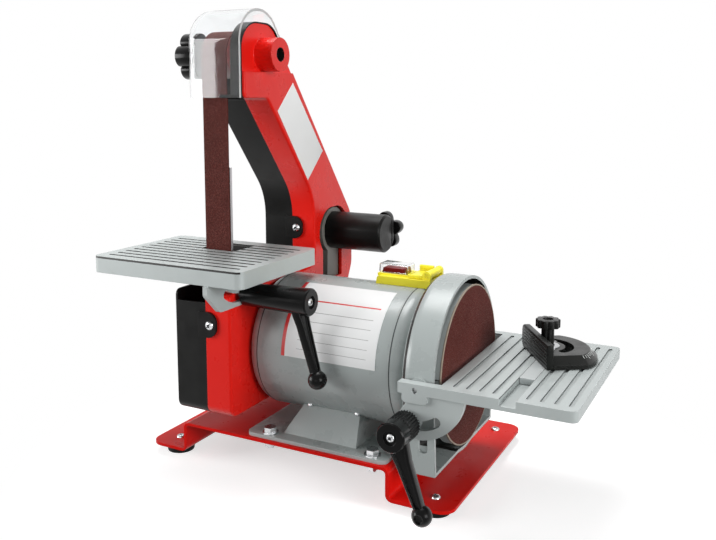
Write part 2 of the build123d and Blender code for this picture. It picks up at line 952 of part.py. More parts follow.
def rear_z(y, room):
    ny, nz, reach = rear_line()
    return (reach + room - ny * y) / nz


def housing_face():
    return outline([
        (housing_front, housing_bottom, housing_corner),
        (housing_front, housing_shelf, shelf_corner),
        (arm_front, housing_shelf, arm_root_round),
        (arm_front, arm_bend_height, arm_bend_round),
        (head_step, head_floor, head_step_round),
        (head_front, head_floor, head_floor_corner),
        (head_front, head_top, head_front_round),
        (rear_y(head_top, wheel_room), head_top, head_rear_round),
        (housing_rear, rear_z(housing_rear, wheel_room), rear_bend_round),
        (housing_rear, pivot_height + rear_foot_rise, rear_foot_round),
        (pivot_back - rear_foot_back, housing_bottom, rear_foot_round),
    ])


def beside_shield_edge(end, drop):
    # Everything on one side of the lower edge of the shield, which may be lowered.
    rear = rear_y(shield_low, shield_room)
    return make_face(Polyline(
        (shield_front - far, shield_floor - drop),
        (head_step + shield_floor_back, shield_floor - drop),
        (rear, shield_low - drop),
        (rear + far, shield_low - drop),
        (rear + far, end),
        (shield_front - far, end),
        close=True,
    ))


def above(z, face):
    return face & (Pos(0, z + far / 2) * Rectangle(2 * far, far))


# Depth, height and outward side of each tab of the cover
cover_tabs = [
    (arm_front, arm_tab_height, -1),
    (housing_front, front_tab_height, -1),
    (housing_rear, rear_tab_height, 1),
]
tab_x = split + tab_screw
platen_screw_y = -drive_wheel_radius + platen_thickness + platen_screw_inset
platen_screw_heights = (platen_foot + platen_wing / 4, platen_foot + 3 * platen_wing / 4)


def frame_shell():
    face = housing_face()
    inner = offset(face, amount=-frame_wall)
    shell = round_ends(slab_x(face, split, frame_right), Axis.X, -1, frame_round)
    shell -= slab_x(inner, split - over, frame_inner)
    # The head has a double wall with a shallow recess round the axle boss.
    shell += slab_x(above(head_recess_height - frame_wall, inner), frame_inner - frame_wall, frame_inner)
    shell -= slab_x(above(head_recess_height, face), frame_inner, frame_right + over)
    shell += rod_x(frame_inner - frame_wall, boss_end, boss_radius, *upper_axis)
    shell -= box(split - over, head_rim_left, head_front - over, upper_wheel_y + head_opening_back,
                 head_floor + frame_wall, head_top + over)
    # Tab that carries the clamp bolt and the guide pin of the belt table.
    root = housing_shelf - ear_margin
    tab = hull_of([belt_bolt, guide_pin, (belt_bolt[0], root), (guide_pin[0], root)], ear_margin)
    return shell + slab_x(tab, frame_inner, frame_right)


def belt_frame():
    body = frame_shell()
    body -= rod_x(frame_inner - frame_wall - over, boss_end - axle_sink, axle_radius + seat_fit, *upper_axis)
    body -= bore_x(boss_end - axle_sink, boss_end, boss_hole_radius, *upper_axis)
    # Opening for the handle of the tension arm, and for its stem below.
    front = (rear_wheel_back - arm_travel, rear_wheel_height)
    body -= slab_x(hull_of([rear_axis, front], handle_opening), frame_inner - over, frame_right + over)
    stem_half = arm_stem / 2
    body -= box(frame_inner - over, frame_right + over,
                pivot_back - stem_half - stem_room_front, pivot_back + stem_half + stem_room_back,
                pivot_height + stem_room_low, rear_wheel_height)
    holes = [(pivot_back, pivot_height, pivot_radius + seat_fit), (0, 0, shaft_radius + frame_shaft_air)]
    holes += [(y, z, clamp_bolt_radius + seat_fit) for y, z in (belt_bolt, guide_pin)]
    holes += [(y, z, face_screw_radius + seat_fit) for y, z in face_screws]
    holes += [(platen_screw_y, z, small_screw_radius + seat_fit) for z in platen_screw_heights]
    for y, z, radius in holes:
        body -= bore_x(frame_inner, frame_right, radius, y, z)
    for y, z, side in cover_tabs:
        y0, y1 = sorted((y, y - side * frame_wall))
        body -= bore_y(y0, y1, small_screw_radius + seat_fit, tab_x, z)
    return body


def belt_cover():
    face = housing_face()
    inner = offset(face, amount=-cover_wall)
    body = round_ends(slab_x(face, cover_left, split), Axis.X, 0, cover_round)
    body -= slab_x(inner, cover_inner, split + over)
    # Open top of the lower box, with a lower front edge; the head is left to the shield.
    inside = housing_front + cover_wall
    body -= box(cover_inner, split + over, inside, belt_front + cover_mouth,
                housing_shelf - cover_mouth_drop, housing_shelf + over)
    body -= box(cover_inner, split + over, housing_front - over, inside + over,
                housing_shelf - cover_front_drop, housing_shelf + over)
    body -= slab_x(beside_shield_edge(far, shield_floor_gap + over), cover_left - over, split + over)
    for y, z, side in cover_tabs:
        y0, y1 = sorted((y, y + side * tab_thickness))
        tab = box(split - tab_root, split + tab_reach, y0, y1, z - tab_half, z + tab_half)
        body += fillet(tab.edges().filter_by(Axis.Y).group_by(Axis.X)[-1], tab_corner)
        body -= bore_y(y0, y1, small_screw_radius + seat_fit, tab_x, z)
    return body


def cover_screws():
    screw = round_screw(small_screw_radius, tab_thickness + frame_wall, wide_head_ratio)
    return [
        set_at(screw, (tab_x, y + side * tab_thickness, z), (0, side, 0))
        for y, z, side in cover_tabs
    ]


# Clear shield, and the black edging of the head under it
def shield_block(wall, reach, left, right):
    # Rounded hood that runs on downwards by the given reach.
    low = shield_low - reach
    floor = shield_floor - reach
    room = shield_room - wall
    top = shield_top - wall
    face = outline([
        (shield_front + wall, floor, 0),
        (shield_front + wall, top, shield_round - wall),
        (rear_y(top, room), top, shield_round - wall),
        (rear_y(low, room), low, 0),
        (head_step + shield_floor_back, floor, 0),
    ])
    return round_ends(slab_x(face, left, right), Axis.X, 0, shield_side_round - wall)


def clear_shield():
    reach = 2 * shield_side_round
    body = shield_block(0, reach, shield_left, shield_right)
    body -= shield_block(shield_wall, 2 * reach, shield_left + shield_wall, shield_right + over)
    body -= slab_x(beside_shield_edge(-far, 0), shield_left - over, shield_right + over)
    return body - bore_x(shield_left, shield_left + shield_wall, star_stud_radius + seat_fit, *upper_axis)


def head_edging():
    face = housing_face()
    band = offset(face, amount=edging_thickness) - offset(face, amount=seat_fit)
    front = head_front - 2 * edging_thickness
    top = head_top + 2 * edging_thickness
    left = split + face_gap
    floor_top = head_floor + frame_wall
    zone = box(head_rim_left, shield_right, front, edging_back, head_floor, top)
    zone += box(left, shield_right, front, head_front + head_floor_corner, head_floor, floor_top)
    return slab_x(band, left, shield_right) & zone


# Star knobs
def star_grip(height):
    # Lobed grip along Z, seat at zero.
    core = star_core_ratio * star_radius
    face = Circle(core)
    for a, b in ring_points(star_lobes, core, 90):
        face += Pos(a, b) * Circle(star_radius - core)
    grip = extrude(face, height)
    return chamfer(grip.edges().group_by(Axis.Z)[-1], star_chamfer)


def star_knob(neck, height, bore):
    knob = rod_z(0, neck + over, star_neck_radius) + Pos(0, 0, neck) * star_grip(height)
    return knob - rod_z(-over, bore, star_stud_radius + running_fit)


def shield_knob():
    knob = star_knob(star_neck_length, star_height, star_neck_length + star_bore)
    return set_at(knob, (shield_left - face_gap, *upper_axis), (-1, 0, 0))


# Tension arm
handle_right = arm_right + frame_wall + face_gap + handle_length
handle_back = rear_wheel_back + handle_flat
tracking_x = handle_right - tracking_inset
pivot = (pivot_back, pivot_height)


def tension_arm():
    stem_half = arm_stem / 2
    face = Pos(*rear_axis) * Circle(arm_head_radius) + Pos(*pivot) * Circle(stem_half + arm_eye)
    face += make_face(Polyline(
        (pivot_back - stem_half, pivot_height),
        (pivot_back + stem_half, pivot_height),
        (rear_wheel_back + stem_half, rear_wheel_height),
        (rear_wheel_back - stem_half, rear_wheel_height),
        close=True,
    ))
    return slab_x(face, arm_left, arm_right) - bore_x(arm_left, arm_right, pivot_radius + running_fit, *pivot)


def tension_pivot_pin():
    # Head outside the frame, clip for the spring inside.
    end = arm_left - pivot_tail
    pin = rod_x(end, frame_right + pivot_head, pivot_radius, *pivot)
    pin += rod_x(frame_right, frame_right + pivot_head, pivot_flange_radius, *pivot)
    return pin + rod_x(end, end + pivot_clip, pivot_flange_radius, *pivot)


def tension_spring():
    # Close-wound torsion spring, drawn as a sleeve.
    left = arm_left - pivot_tail + pivot_clip + spring_side
    inner = pivot_radius + spring_room
    return tube_x(left, arm_left - face_gap, inner + spring_wire, inner, *pivot)


def tension_handle():
    flat = Pos(handle_flat + far / 2, 0) * Rectangle(far, far)
    body = slab_x(Pos(*rear_axis) * (Circle(handle_radius) - flat), arm_right, handle_right)
    body = chamfer(body.edges().group_by(Axis.X)[-1], handle_chamfer)
    return body + rod_y(handle_back - tracking_stud_in, handle_back + tracking_stud_out,
                        star_stud_radius, tracking_x, rear_wheel_height)


def tracking_knob():
    knob = star_knob(tracking_neck, tracking_grip, tracking_stud_out + over)
    return set_at(knob, (tracking_x, handle_back + face_gap, rear_wheel_height), (0, 1, 0))


# Platen
def platen():
    front = -drive_wheel_radius
    back = front + platen_thickness
    wing_top = platen_foot + platen_wing
    body = box(belt_left - platen_side, belt_right + platen_side, front, back, platen_foot, platen_top)
    body += box(belt_right, frame_inner, front, back, platen_foot, wing_top)
    wing_left = frame_inner - platen_thickness
    body += box(wing_left, frame_inner, front, back + platen_wing_depth, platen_foot, wing_top)
    for z in platen_screw_heights:
        body -= bore_x(wing_left, frame_inner, small_screw_radius + seat_fit, platen_screw_y, z)
    return body


def platen_screws():
    screw = round_screw(small_screw_radius, platen_thickness + frame_wall)
    return [
        set_at(screw, (frame_inner - platen_thickness, platen_screw_y, z), (-1, 0, 0))
        for z in platen_screw_heights
    ]


# Belt table
ear_left = frame_right + face_gap
ear_right = ear_left + ear_thickness
belt_lever_seat = ear_right + face_gap


def belt_table_ear(top):
    bottom = belt_bolt[1] - ear_margin
    back = guide_pin[0] + ear_margin
    root = belt_table_front + belt_table_wall / 2
    rim_low = belt_table_height - belt_table_rim
    face = outline([
        (root, top, 0),
        (root, rim_low, 0),
        (ear_front, rim_low, 0),
        (ear_front, bottom + ear_step, ear_front_round),
        (ear_front + ear_step, bottom, ear_low_round),
        (back, bottom, ear_margin),
        (back, top, 0),
    ])
    start = tilt_bolt_angle + guide_pin_angle + slot_spare
    sweep = -(tilt_range + guide_pin_angle + 2 * slot_spare)
    face -= arc_slot(tilt_axis, tilt_slot_radius, start, sweep, tilt_slot_half)
    return slab_x(face, ear_left, ear_right)


def belt_table():
    bottom = belt_table_height - belt_table_rim
    under = belt_table_height - belt_table_plate
    left, right = belt_table_left, belt_table_right
    front, back = belt_table_front, belt_table_back
    wall = belt_table_wall
    body = box(left, right, front, back, bottom, belt_table_height)
    body = fillet(body.edges().filter_by(Axis.Z), belt_table_corner)
    body -= box(left + wall, right - wall, front + wall, back - wall, bottom - over, under)
    groove = SlotOverall(right - left - 2 * groove_margin, groove_width)
    first = front + groove_margin + groove_width
    for i in range(int((back - front - 2 * groove_margin) / groove_pitch)):
        line = Pos((left + right) / 2, first + i * groove_pitch) * groove
        body -= slab_z(line, belt_table_height - groove_depth, belt_table_height + over)
    slot_front = belt_front - belt_thickness - slot_room_front
    body -= box(belt_left - slot_room_side, belt_right + slot_room_side, slot_front, slot_back,
                bottom - over, belt_table_height + over)
    return body + belt_table_ear(under + over)


def belt_table_bolts():
    # Both are screwed into the tab of the frame.
    bolt = rod_x(frame_inner, belt_lever_seat + clamp_bolt_grip, clamp_bolt_radius, *belt_bolt)
    guide = rod_x(frame_inner, ear_right - face_gap, clamp_bolt_radius, *guide_pin)
    return [bolt, guide]


# Clamp levers, hub along Z with the seat at zero and the arm along X
def clamp_lever(length, reach, root, splay):
    # The arm leaves the hub at the root, measured from the hub's end, and splays away from the seat.
    hub = Pos(0, 0, length / 2) * Cone(lever_hub_radius - lever_hub_taper, lever_hub_radius, length)
    along = reach / math.cos(math.radians(splay))
    top = lever_arm_thickness / 2
    half = lever_arm_width / 2
    tip = half - lever_arm_taper
    blade = Polyline((0, -half), (along, -tip), (along, tip), (0, half), close=True)
    arm = slab_z(make_face(blade), -top, top)
    start = lever_hub_radius + lever_channel_margin
    end = along - lever_ball_radius - lever_channel_margin
    channel = half - lever_channel_wall
    arm -= box(start, end, -channel, channel, top - lever_channel_depth, top + over)
    arm += Pos(along, 0, 0) * Sphere(lever_ball_radius)
    body = hub + Pos(0, 0, length - root) * Rot(0, -splay, 0) * arm
    body -= rod_z(-over, clamp_bolt_grip + over, clamp_bolt_radius + running_fit)
    return body - rod_z(length - lever_screw_depth, length + over, lever_screw_radius + seat_fit)


def lever_screw():
    return round_screw(lever_screw_radius, lever_screw_depth - over, wide_head_ratio)


def belt_lever_direction():
    # The arm hangs in front of the motor, and its ball passes the shell with the named air.
    away = math.hypot(*belt_bolt)
    reach = belt_lever_reach
    ball = motor_radius + lever_motor_air + lever_ball_radius
    opening = math.acos((away ** 2 + reach ** 2 - ball ** 2) / (2 * away * reach))
    angle = math.atan2(-belt_bolt[1], -belt_bolt[0]) - opening
    return (0, math.cos(angle), math.sin(angle))


def belt_table_lever():
    lever = clamp_lever(belt_lever_length, belt_lever_reach, belt_lever_root, belt_lever_splay)
    return set_at(lever, (belt_lever_seat, *belt_bolt), (1, 0, 0), belt_lever_direction())


def belt_table_lever_screw():
    return set_at(lever_screw(), (belt_lever_seat + belt_lever_length, *belt_bolt), (1, 0, 0))


disc_lever_seat = -(table_arm_inner + trunnion_thickness + face_gap)


def disc_table_lever():
    lean = math.radians(disc_lever_lean)
    lever = clamp_lever(disc_lever_length, disc_lever_reach, disc_lever_root, disc_lever_splay)
    along = (math.sin(lean), 0, -math.cos(lean))
    return set_at(lever, (clamp_x, disc_lever_seat, clamp_z), (0, -1, 0), along)


def disc_table_lever_screw():
    return set_at(lever_screw(), (clamp_x, disc_lever_seat - disc_lever_length, clamp_z), (0, -1, 0))


# Disc table
def trunnion():
    reach = 2 * trunnion_radius
    sector = make_face(Polyline(
        (0, 0),
        (reach, 0),
        (reach, -reach),
        (0, -reach),
        on_circle((0, 0), reach, -trunnion_end),
        close=True,
    )) & Circle(trunnion_radius)
    sector = Pos(hinge_x, hinge_z) * sector
    sweep = tilt_range + 2 * slot_spare
    sector -= arc_slot((hinge_x, hinge_z), clamp_reach, clamp_angle - slot_spare, sweep, tilt_slot_half)
    return slab_y(sector, -(table_arm_inner + trunnion_thickness), -table_arm_inner)


def groove_places():
    # Lines on both sides of the mitre slot.
    step = groove_pitch / 2 + groove_land
    places = []
    x = mitre_slot_left - step
    while x > disc_table_gap + groove_margin:
        places.append(x)
        x -= groove_pitch
    x = mitre_slot_left + mitre_slot_width + step
    while x < disc_table_right - groove_margin / 2:
        places.append(x)
        x += groove_pitch
    return places


def disc_table():
    top = disc_table_top
    bottom = top - disc_table_plate
    left, right = disc_table_left, disc_table_right
    half = disc_table_half
    body = box(left, right, -half, half, bottom, top)
    body = fillet(body.edges().filter_by(Axis.Z).group_by(Axis.X)[-1], disc_table_corner)
    # The arms reach past the guard from a yoke as wide as they are.
    mouth_back = disc_table_gap + disc_table_plate
    body += box(left, mouth_back + disc_table_yoke, -table_arm_outer, table_arm_outer, bottom, top)
    # Mouth round the disc; its edge leans so that it clears the disc when tilted.
    mouth = make_face(Polyline(
        (left - over, top + over),
        (disc_table_gap - over, top + over),
        (mouth_back + over, bottom - over),
        (left - over, bottom - over),
        close=True,
    ))
    body -= slab_y(mouth, -table_arm_inner, table_arm_inner)
    for y0, y1 in ((-table_arm_outer, -table_arm_inner), (table_arm_inner, table_arm_outer)):
        lug = box(hinge_x - hinge_lug_half, hinge_x + hinge_lug_half, y0, y1, hinge_z - hinge_lug_drop, top)
        body += chamfer(lug.edges().filter_by(Axis.Y).group_by(Axis.Z)[0], hinge_lug_chamfer)
    body += trunnion()
    wide = max(half, table_arm_outer) + over
    body -= box(mitre_slot_left, mitre_slot_left + mitre_slot_width, -wide, wide,
                top - mitre_slot_depth, top + over)
    groove = SlotOverall(2 * (half - groove_margin), groove_width, rotation=90)
    for x in groove_places():
        body -= slab_z(Pos(x, 0) * groove, top - groove_depth, top + over)
    return body - bore_y(-table_arm_outer, table_arm_outer, hinge_pin_radius + running_fit, hinge_x, hinge_z)


def disc_table_pins():
    inner = guard_radius - guard_wall + hinge_pin_spare
    outer = table_arm_outer - hinge_pin_sink
    return [
        rod_y(-outer, -inner, hinge_pin_radius, hinge_x, hinge_z),
        rod_y(inner, outer, hinge_pin_radius, hinge_x, hinge_z),
    ]


def disc_table_bolt():
    # Screwed into the boss on the wall of the guard.
    drop = guard_taper * clamp_z / guard_bottom
    wall = guard_radius - guard_wall - drop
    return rod_y(disc_lever_seat - clamp_bolt_grip, -wall, clamp_bolt_radius, clamp_x, clamp_z)


# Mitre gauge
head_low = disc_table_top + face_gap
head_high = head_low + mitre_base
fence_back = -(mitre_stem_radius + mitre_fence_room)
fence_front = fence_back - mitre_fence_thickness
fence_top = head_low + mitre_fence_height
grip_low = fence_top + mitre_knob_rise
grip_high = grip_low + mitre_grip_height
stud_top = grip_low + mitre_stud_grip
mitre_guide_y = mitre_pivot_y + mitre_slot_radius


def mitre_bar():
    low = disc_table_top - mitre_slot_depth + mitre_bar_gap
    body = box(mitre_slot_left + mitre_bar_gap, mitre_slot_left + mitre_slot_width - mitre_bar_gap,
               mitre_bar_front, mitre_bar_front + mitre_bar_length, low, disc_table_top)
    for y in (mitre_pivot_y, mitre_guide_y):
        body -= bore_z(low, disc_table_top, mitre_stud_radius + seat_fit, mitre_x, y)
    return body


def mitre_studs():
    low = disc_table_top - mitre_slot_depth + mitre_stud_sink
    return [
        rod_z(low, stud_top, mitre_stud_radius, mitre_x, mitre_pivot_y),
        rod_z(low, head_high - over, mitre_stud_radius, mitre_x, mitre_guide_y),
    ]


def mitre_head():
    # Drawn square to the bar, fence along X, then turned to its set angle.
    half = mitre_fence_length / 2
    dial = rod_z(head_low, head_high, mitre_radius)
    dial = chamfer(dial.edges().group_by(Axis.Z)[-1], mitre_rim)
    body = dial & box(-half, half, fence_back, mitre_radius, head_low, head_high)
    slot_half = mitre_stud_radius + face_gap
    slot = arc_slot((0, 0), mitre_slot_radius, mitre_slot_start, mitre_slot_sweep, slot_half)
    body -= slab_z(slot, head_low - over, head_high + over)
    body += box(-half, half, fence_front, fence_back, head_low, fence_top)
    body -= bore_z(head_low, head_high, mitre_stud_radius + running_fit)
    return Pos(mitre_x, mitre_pivot_y, 0) * Rot(0, 0, mitre_angle) * body


def mitre_knob():
    stem = rod_z(head_high + face_gap, grip_low + over, mitre_stem_radius)
    grip = rod_z(grip_low, grip_high, mitre_knob_radius)
    knob = stem + chamfer(grip.edges(), mitre_knob_chamfer)
    for a, b in ring_points(knob_flutes, mitre_knob_radius + flute_shift):
        knob -= bore_z(grip_low, grip_high, flute_radius, a, b)
    knob -= rod_z(head_high, stud_top + over, mitre_stud_radius + running_fit)
    knob -= rod_z(grip_high - mitre_knob_hole_depth, grip_high + over, mitre_knob_hole_radius)
    return Pos(mitre_x, mitre_pivot_y, 0) * knob


# Every node of the assembly with the solids in it
def assembly():
    return {
        "base_plate": base_plate(),
        "rubber_feet": rubber_feet(),
        "foot_screws": foot_screws(),
        "motor_foot": motor_foot(),
        "motor_foot_bolts": motor_foot_bolts(),
        "motor_foot_nuts": motor_foot_nuts(),
        "motor_shell": motor_shell(),
        "motor_end_bells": motor_end_bells(),
        "motor_face_screws": motor_face_screws(),
        "stator_core": stator_core(),
        "stator_windings": stator_windings(),
        "motor_bearings": motor_bearings(),
        "motor_shaft": motor_shaft(),
        "rotor_core": rotor_core(),
        "cooling_fan": cooling_fan(),
        "disc_guard": disc_guard(),
        "disc_plate": disc_plate(),
        "disc_set_screw": disc_set_screw(),
        "abrasive_disc": abrasive_disc(),
        "switch_box": switch_box(),
        "switch_rocker": switch_rocker(),
        "switch_flap": switch_flap(),
        "cable_gland": cable_gland(),
        "belt_frame": belt_frame(),
        "belt_cover": belt_cover(),
        "cover_screws": cover_screws(),
        "clear_shield": clear_shield(),
        "head_edging": head_edging(),
        "shield_knob": shield_knob(),
        "sanding_belt": sanding_belt(),
        "drive_wheel": drive_wheel(),
        "drive_wheel_nut": drive_wheel_nut(),
        "upper_wheel": idler(upper_wheel_radius, upper_axis),
        "upper_wheel_bearings": idler_bearings(upper_axis),
        "upper_axle": upper_axle(),
        "rear_wheel": idler(rear_wheel_radius, rear_axis),
        "rear_wheel_bearings": idler_bearings(rear_axis),
        "rear_axle": rear_axle(),
        "tension_arm": tension_arm(),
        "tension_pivot_pin": tension_pivot_pin(),
        "tension_spring": tension_spring(),
        "tension_handle": tension_handle(),
        "tracking_knob": tracking_knob(),
        "platen": platen(),
        "platen_screws": platen_screws(),
        "belt_table": belt_table(),
        "belt_table_bolts": belt_table_bolts(),
        "belt_table_lever": belt_table_lever(),
        "belt_table_lever_screw": belt_table_lever_screw(),
        "disc_table": disc_table(),
        "disc_table_pins": disc_table_pins(),
        "disc_table_bolt": disc_table_bolt(),
        "disc_table_lever": disc_table_lever(),
        "disc_table_lever_screw": disc_table_lever_screw(),
        "mitre_bar": mitre_bar(),
        "mitre_studs": mitre_studs(),
        "mitre_head": mitre_head(),
        "mitre_knob": mitre_knob(),
    }


def node_solids(shape):
    shapes = shape if isinstance(shape, list) else [shape]
    return [solid for piece in shapes for solid in piece.solids()]


def ground_shift(nodes):
    boxes = [solid.bounding_box() for solids in nodes.values() for solid in solids]
    x = (min(b.min.X for b in boxes) + max(b.max.X for b in boxes)) / 2
    y = (min(b.min.Y for b in boxes) + max(b.max.Y for b in boxes)) / 2
    return Pos(-x, -y, -min(b.min.Z for b in boxes))


def main():
    nodes = {name: node_solids(shape) for name, shape in assembly().items()}
    shift = ground_shift(nodes)
    os.makedirs("parts", exist_ok=True)
    for name, solids in nodes.items():
        moved = [shift * solid for solid in solids]
        shape = moved[0] if len(moved) == 1 else Compound(children=moved)
        export_step(shape, f"parts/{name}.step")


if __name__ == "__main__":
    main()
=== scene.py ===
# Looks of the belt and disc sander: the studio, the finishes and the finer pieces on the machine's bodies.
import math

import bmesh
import bpy
from mathutils import Matrix, Vector


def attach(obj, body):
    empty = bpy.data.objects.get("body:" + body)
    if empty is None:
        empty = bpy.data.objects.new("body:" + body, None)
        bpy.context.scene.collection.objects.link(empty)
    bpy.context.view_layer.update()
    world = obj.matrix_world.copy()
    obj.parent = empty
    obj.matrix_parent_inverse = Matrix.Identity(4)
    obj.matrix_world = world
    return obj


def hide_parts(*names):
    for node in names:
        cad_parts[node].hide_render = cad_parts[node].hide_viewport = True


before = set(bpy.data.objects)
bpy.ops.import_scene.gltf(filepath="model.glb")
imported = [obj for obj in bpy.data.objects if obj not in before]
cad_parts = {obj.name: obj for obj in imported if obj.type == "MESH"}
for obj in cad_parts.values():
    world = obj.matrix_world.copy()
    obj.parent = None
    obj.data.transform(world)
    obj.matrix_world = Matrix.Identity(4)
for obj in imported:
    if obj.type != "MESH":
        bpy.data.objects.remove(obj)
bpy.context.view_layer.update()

MM = 0.001
# The machine's zero is the disc's face on the motor axis; it sits here in the frame, in millimetres.
MACHINE_ZERO = Vector((93.0, -11.6, 102.5))


# Shader nodes

COLOUR_A, COLOUR_B, COLOUR_OUT = 6, 7, 2
NOISE_ROUGHNESS = 0.55
NOISE_BODY = (0.3, 0.7)
EDGE_SAMPLES = 6
SLANT = (0.15, 0.6)
WHITE = (1, 1, 1, 1)


def add(tree, kind, values=None, **props):
    """A node with its properties set and each input either joined to a socket or given a value."""
    node = tree.nodes.new(kind)
    for key, value in props.items():
        setattr(node, key, value)
    for key, value in (values or {}).items():
        if isinstance(value, bpy.types.NodeSocket):
            tree.links.new(value, node.inputs[key])
        else:
            node.inputs[key].default_value = value
    return node


def both(tree, first, second, how="MULTIPLY"):
    return add(tree, "ShaderNodeMath", {0: first, 1: second}, operation=how).outputs[0]


def blend(tree, factor, first, second):
    """A shader between two, by a factor."""
    values = {0: factor, 1: first.outputs[0], 2: second.outputs[0]}
    return add(tree, "ShaderNodeMixShader", values)


def length_of(tree, vector):
    return add(tree, "ShaderNodeVectorMath", {0: vector}, operation="LENGTH").outputs["Value"]


def place(tree, stretch=None):
    """The piece's own coordinates in metres, stretched along an axis where the finish has a direction."""
    spot = add(tree, "ShaderNodeTexCoord").outputs["Object"]
    if stretch is None:
        return spot
    return add(tree, "ShaderNodeMapping", {"Vector": spot, "Scale": stretch}).outputs[0]


def grain(tree, size, detail=3.0, stretch=None):
    """Cloudy noise whose blotches are about this many millimetres across."""
    values = {"Vector": place(tree, stretch), "Scale": 1 / (size * MM), "Detail": detail,
              "Roughness": NOISE_ROUGHNESS}
    return add(tree, "ShaderNodeTexNoise", values).outputs["Fac"]


def span(tree, factor, low, high, start=0.0, end=1.0):
    """A factor between start and end, spread between two values."""
    values = {"Value": factor, "From Min": start, "From Max": end, "To Min": low, "To Max": high}
    return add(tree, "ShaderNodeMapRange", values).outputs["Result"]


def smudged(tree, roughness, less, more, size, detail=5.0):
    """A roughness that is a little less or more in cloudy patches."""
    return span(tree, grain(tree, size, detail), roughness - less, roughness + more, *NOISE_BODY)


def tint(tree, factor, first, second):
    """A colour between two, by a factor."""
    ends = [c if isinstance(c, bpy.types.NodeSocket) else (*c, 1) for c in (first, second)]
    values = {0: factor, COLOUR_A: ends[0], COLOUR_B: ends[1]}
    return add(tree, "ShaderNodeMix", values, data_type="RGBA").outputs[COLOUR_OUT]


def soft_edge(tree, radius):
    """The surface's direction with its sharp edges eased over so many millimetres."""
    return add(tree, "ShaderNodeBevel", {"Radius": radius * MM}, samples=EDGE_SAMPLES).outputs["Normal"]


def edge_wear_and_highlight(tree, eased, share):
    """Up to a share on the eased edges, broken up by noise: wear where hands and work touch them, and a
    painted highlight along the edges.
    """
    flat = add(tree, "ShaderNodeNewGeometry").outputs["Normal"]
    dot = add(tree, "ShaderNodeVectorMath", {0: flat, 1: eased}, operation="DOT_PRODUCT").outputs["Value"]
    edge = span(tree, dot, 1.0, 0.0, start=0.5, end=0.96)
    patch = span(tree, grain(tree, size=6.0, detail=5.0), 0.0, 1.0, start=0.38, end=0.62)
    return both(tree, both(tree, edge, patch), share)


def dent(tree, height, depth, normal=None):
    """Bump from a height factor, so many millimetres deep."""
    values = {"Height": height, "Distance": depth * MM, "Strength": 1.0}
    if normal is not None:
        values["Normal"] = normal
    return add(tree, "ShaderNodeBump", values).outputs["Normal"]


def sheen(tree, straight, slanting):
    """How much a surface shines, from seen straight on to seen at a slant."""
    facing = add(tree, "ShaderNodeLayerWeight", {"Blend": 0.5}).outputs["Facing"]
    return span(tree, facing, straight, slanting, *SLANT)


def along(tree, axis):
    """X, Y or Z on the machine, in its own millimetres."""
    values = {"Vector": place(tree), "Location": -MACHINE_ZERO, "Scale": (1 / MM, 1 / MM, 1 / MM)}
    spot = add(tree, "ShaderNodeMapping", values).outputs[0]
    return add(tree, "ShaderNodeSeparateXYZ", {0: spot}).outputs[axis]


def between(tree, value, low, high):
    """1 where a value lies between two others, else 0."""
    values = {0: value, 1: (low + high) / 2, 2: (high - low) / 2}
    return add(tree, "ShaderNodeMath", values, operation="COMPARE").outputs[0]


def inside(tree, x, y, z):
    """1 between these limits of X, Y and Z on the machine."""
    level = both(tree, between(tree, along(tree, "X"), *x), between(tree, along(tree, "Y"), *y))
    return both(tree, level, between(tree, along(tree, "Z"), *z))


def round_inside(tree, centre, radius, reach):
    """1 within a radius of a line along X through a Y and Z, between two values of X."""
    middle = MACHINE_ZERO + Vector((0, *centre))
    values = {"Vector": place(tree), "Location": (0, -middle.y, -middle.z), "Scale": (0, 1 / MM, 1 / MM)}
    away = length_of(tree, add(tree, "ShaderNodeMapping", values).outputs[0])
    return both(tree, between(tree, away, 0, radius), between(tree, along(tree, "X"), *reach))


# Studio, in metres and watts

PICTURE_WIDTH = 716
LENS_PIXELS = 819.57
HORIZON_DROP = 70
FILM_WIDTH = 36.0
CAMERA_PLACE = (0.30214, -0.60667, 0.31095)
CAMERA_YAW, CAMERA_PITCH = 27.423, 7.158
NEAREST, FARTHEST = 0.01, 50

MIDDLE = (0, 0, 0.2)
# Each softbox: its place, what it is aimed at, its width and height, and its power.
SOFTBOXES = {
    "left_softbox": ((-1.28, -0.87, 0.4), (0, 0, 0.4), (0.95, 0.65), 19),
    "right_softbox": ((1.5, -0.55, 0.5), MIDDLE, (0.8, 0.7), 21),
    "front_softbox": ((0.35, -1.9, 0.45), MIDDLE, (1.1, 0.6), 3),
    "top_softbox": ((-0.22, 0.15, 1.45), MIDDLE, (0.8, 0.7), 19),
}
ROOM_LIGHT = 0.04
FLOOR_SIZE, FLOOR_SQUARES = 3, 8
PAPER, PAPER_GLOW = (0.8, 0.8, 0.8, 1), 0.57
PAPER_BOUNCE = (0.16, 0.16, 0.16, 1)
PAPER_FADE = (0.12, 0.3)


def set_camera():
    data = bpy.data.cameras.new("bench_camera")
    data.sensor_width = FILM_WIDTH
    data.lens = LENS_PIXELS / PICTURE_WIDTH * FILM_WIDTH
    data.shift_y = -HORIZON_DROP / PICTURE_WIDTH
    data.clip_start, data.clip_end = NEAREST, FARTHEST
    camera = bpy.data.objects.new("bench_camera", data)
    camera.location = CAMERA_PLACE
    camera.rotation_euler = (math.radians(90 - CAMERA_PITCH), 0, math.radians(CAMERA_YAW))
    bpy.context.scene.collection.objects.link(camera)
    bpy.context.scene.camera = camera


def set_lights():
    for name, (spot, aim, size, watts) in SOFTBOXES.items():
        data = bpy.data.lights.new(name, "AREA")
        data.shape = "RECTANGLE"
        data.size, data.size_y = size
        data.energy = watts
        lamp = bpy.data.objects.new(name, data)
        lamp.location = spot
        lamp.rotation_euler = (Vector(aim) - Vector(spot)).to_track_quat("-Z", "Y").to_euler()
        bpy.context.scene.collection.objects.link(lamp)


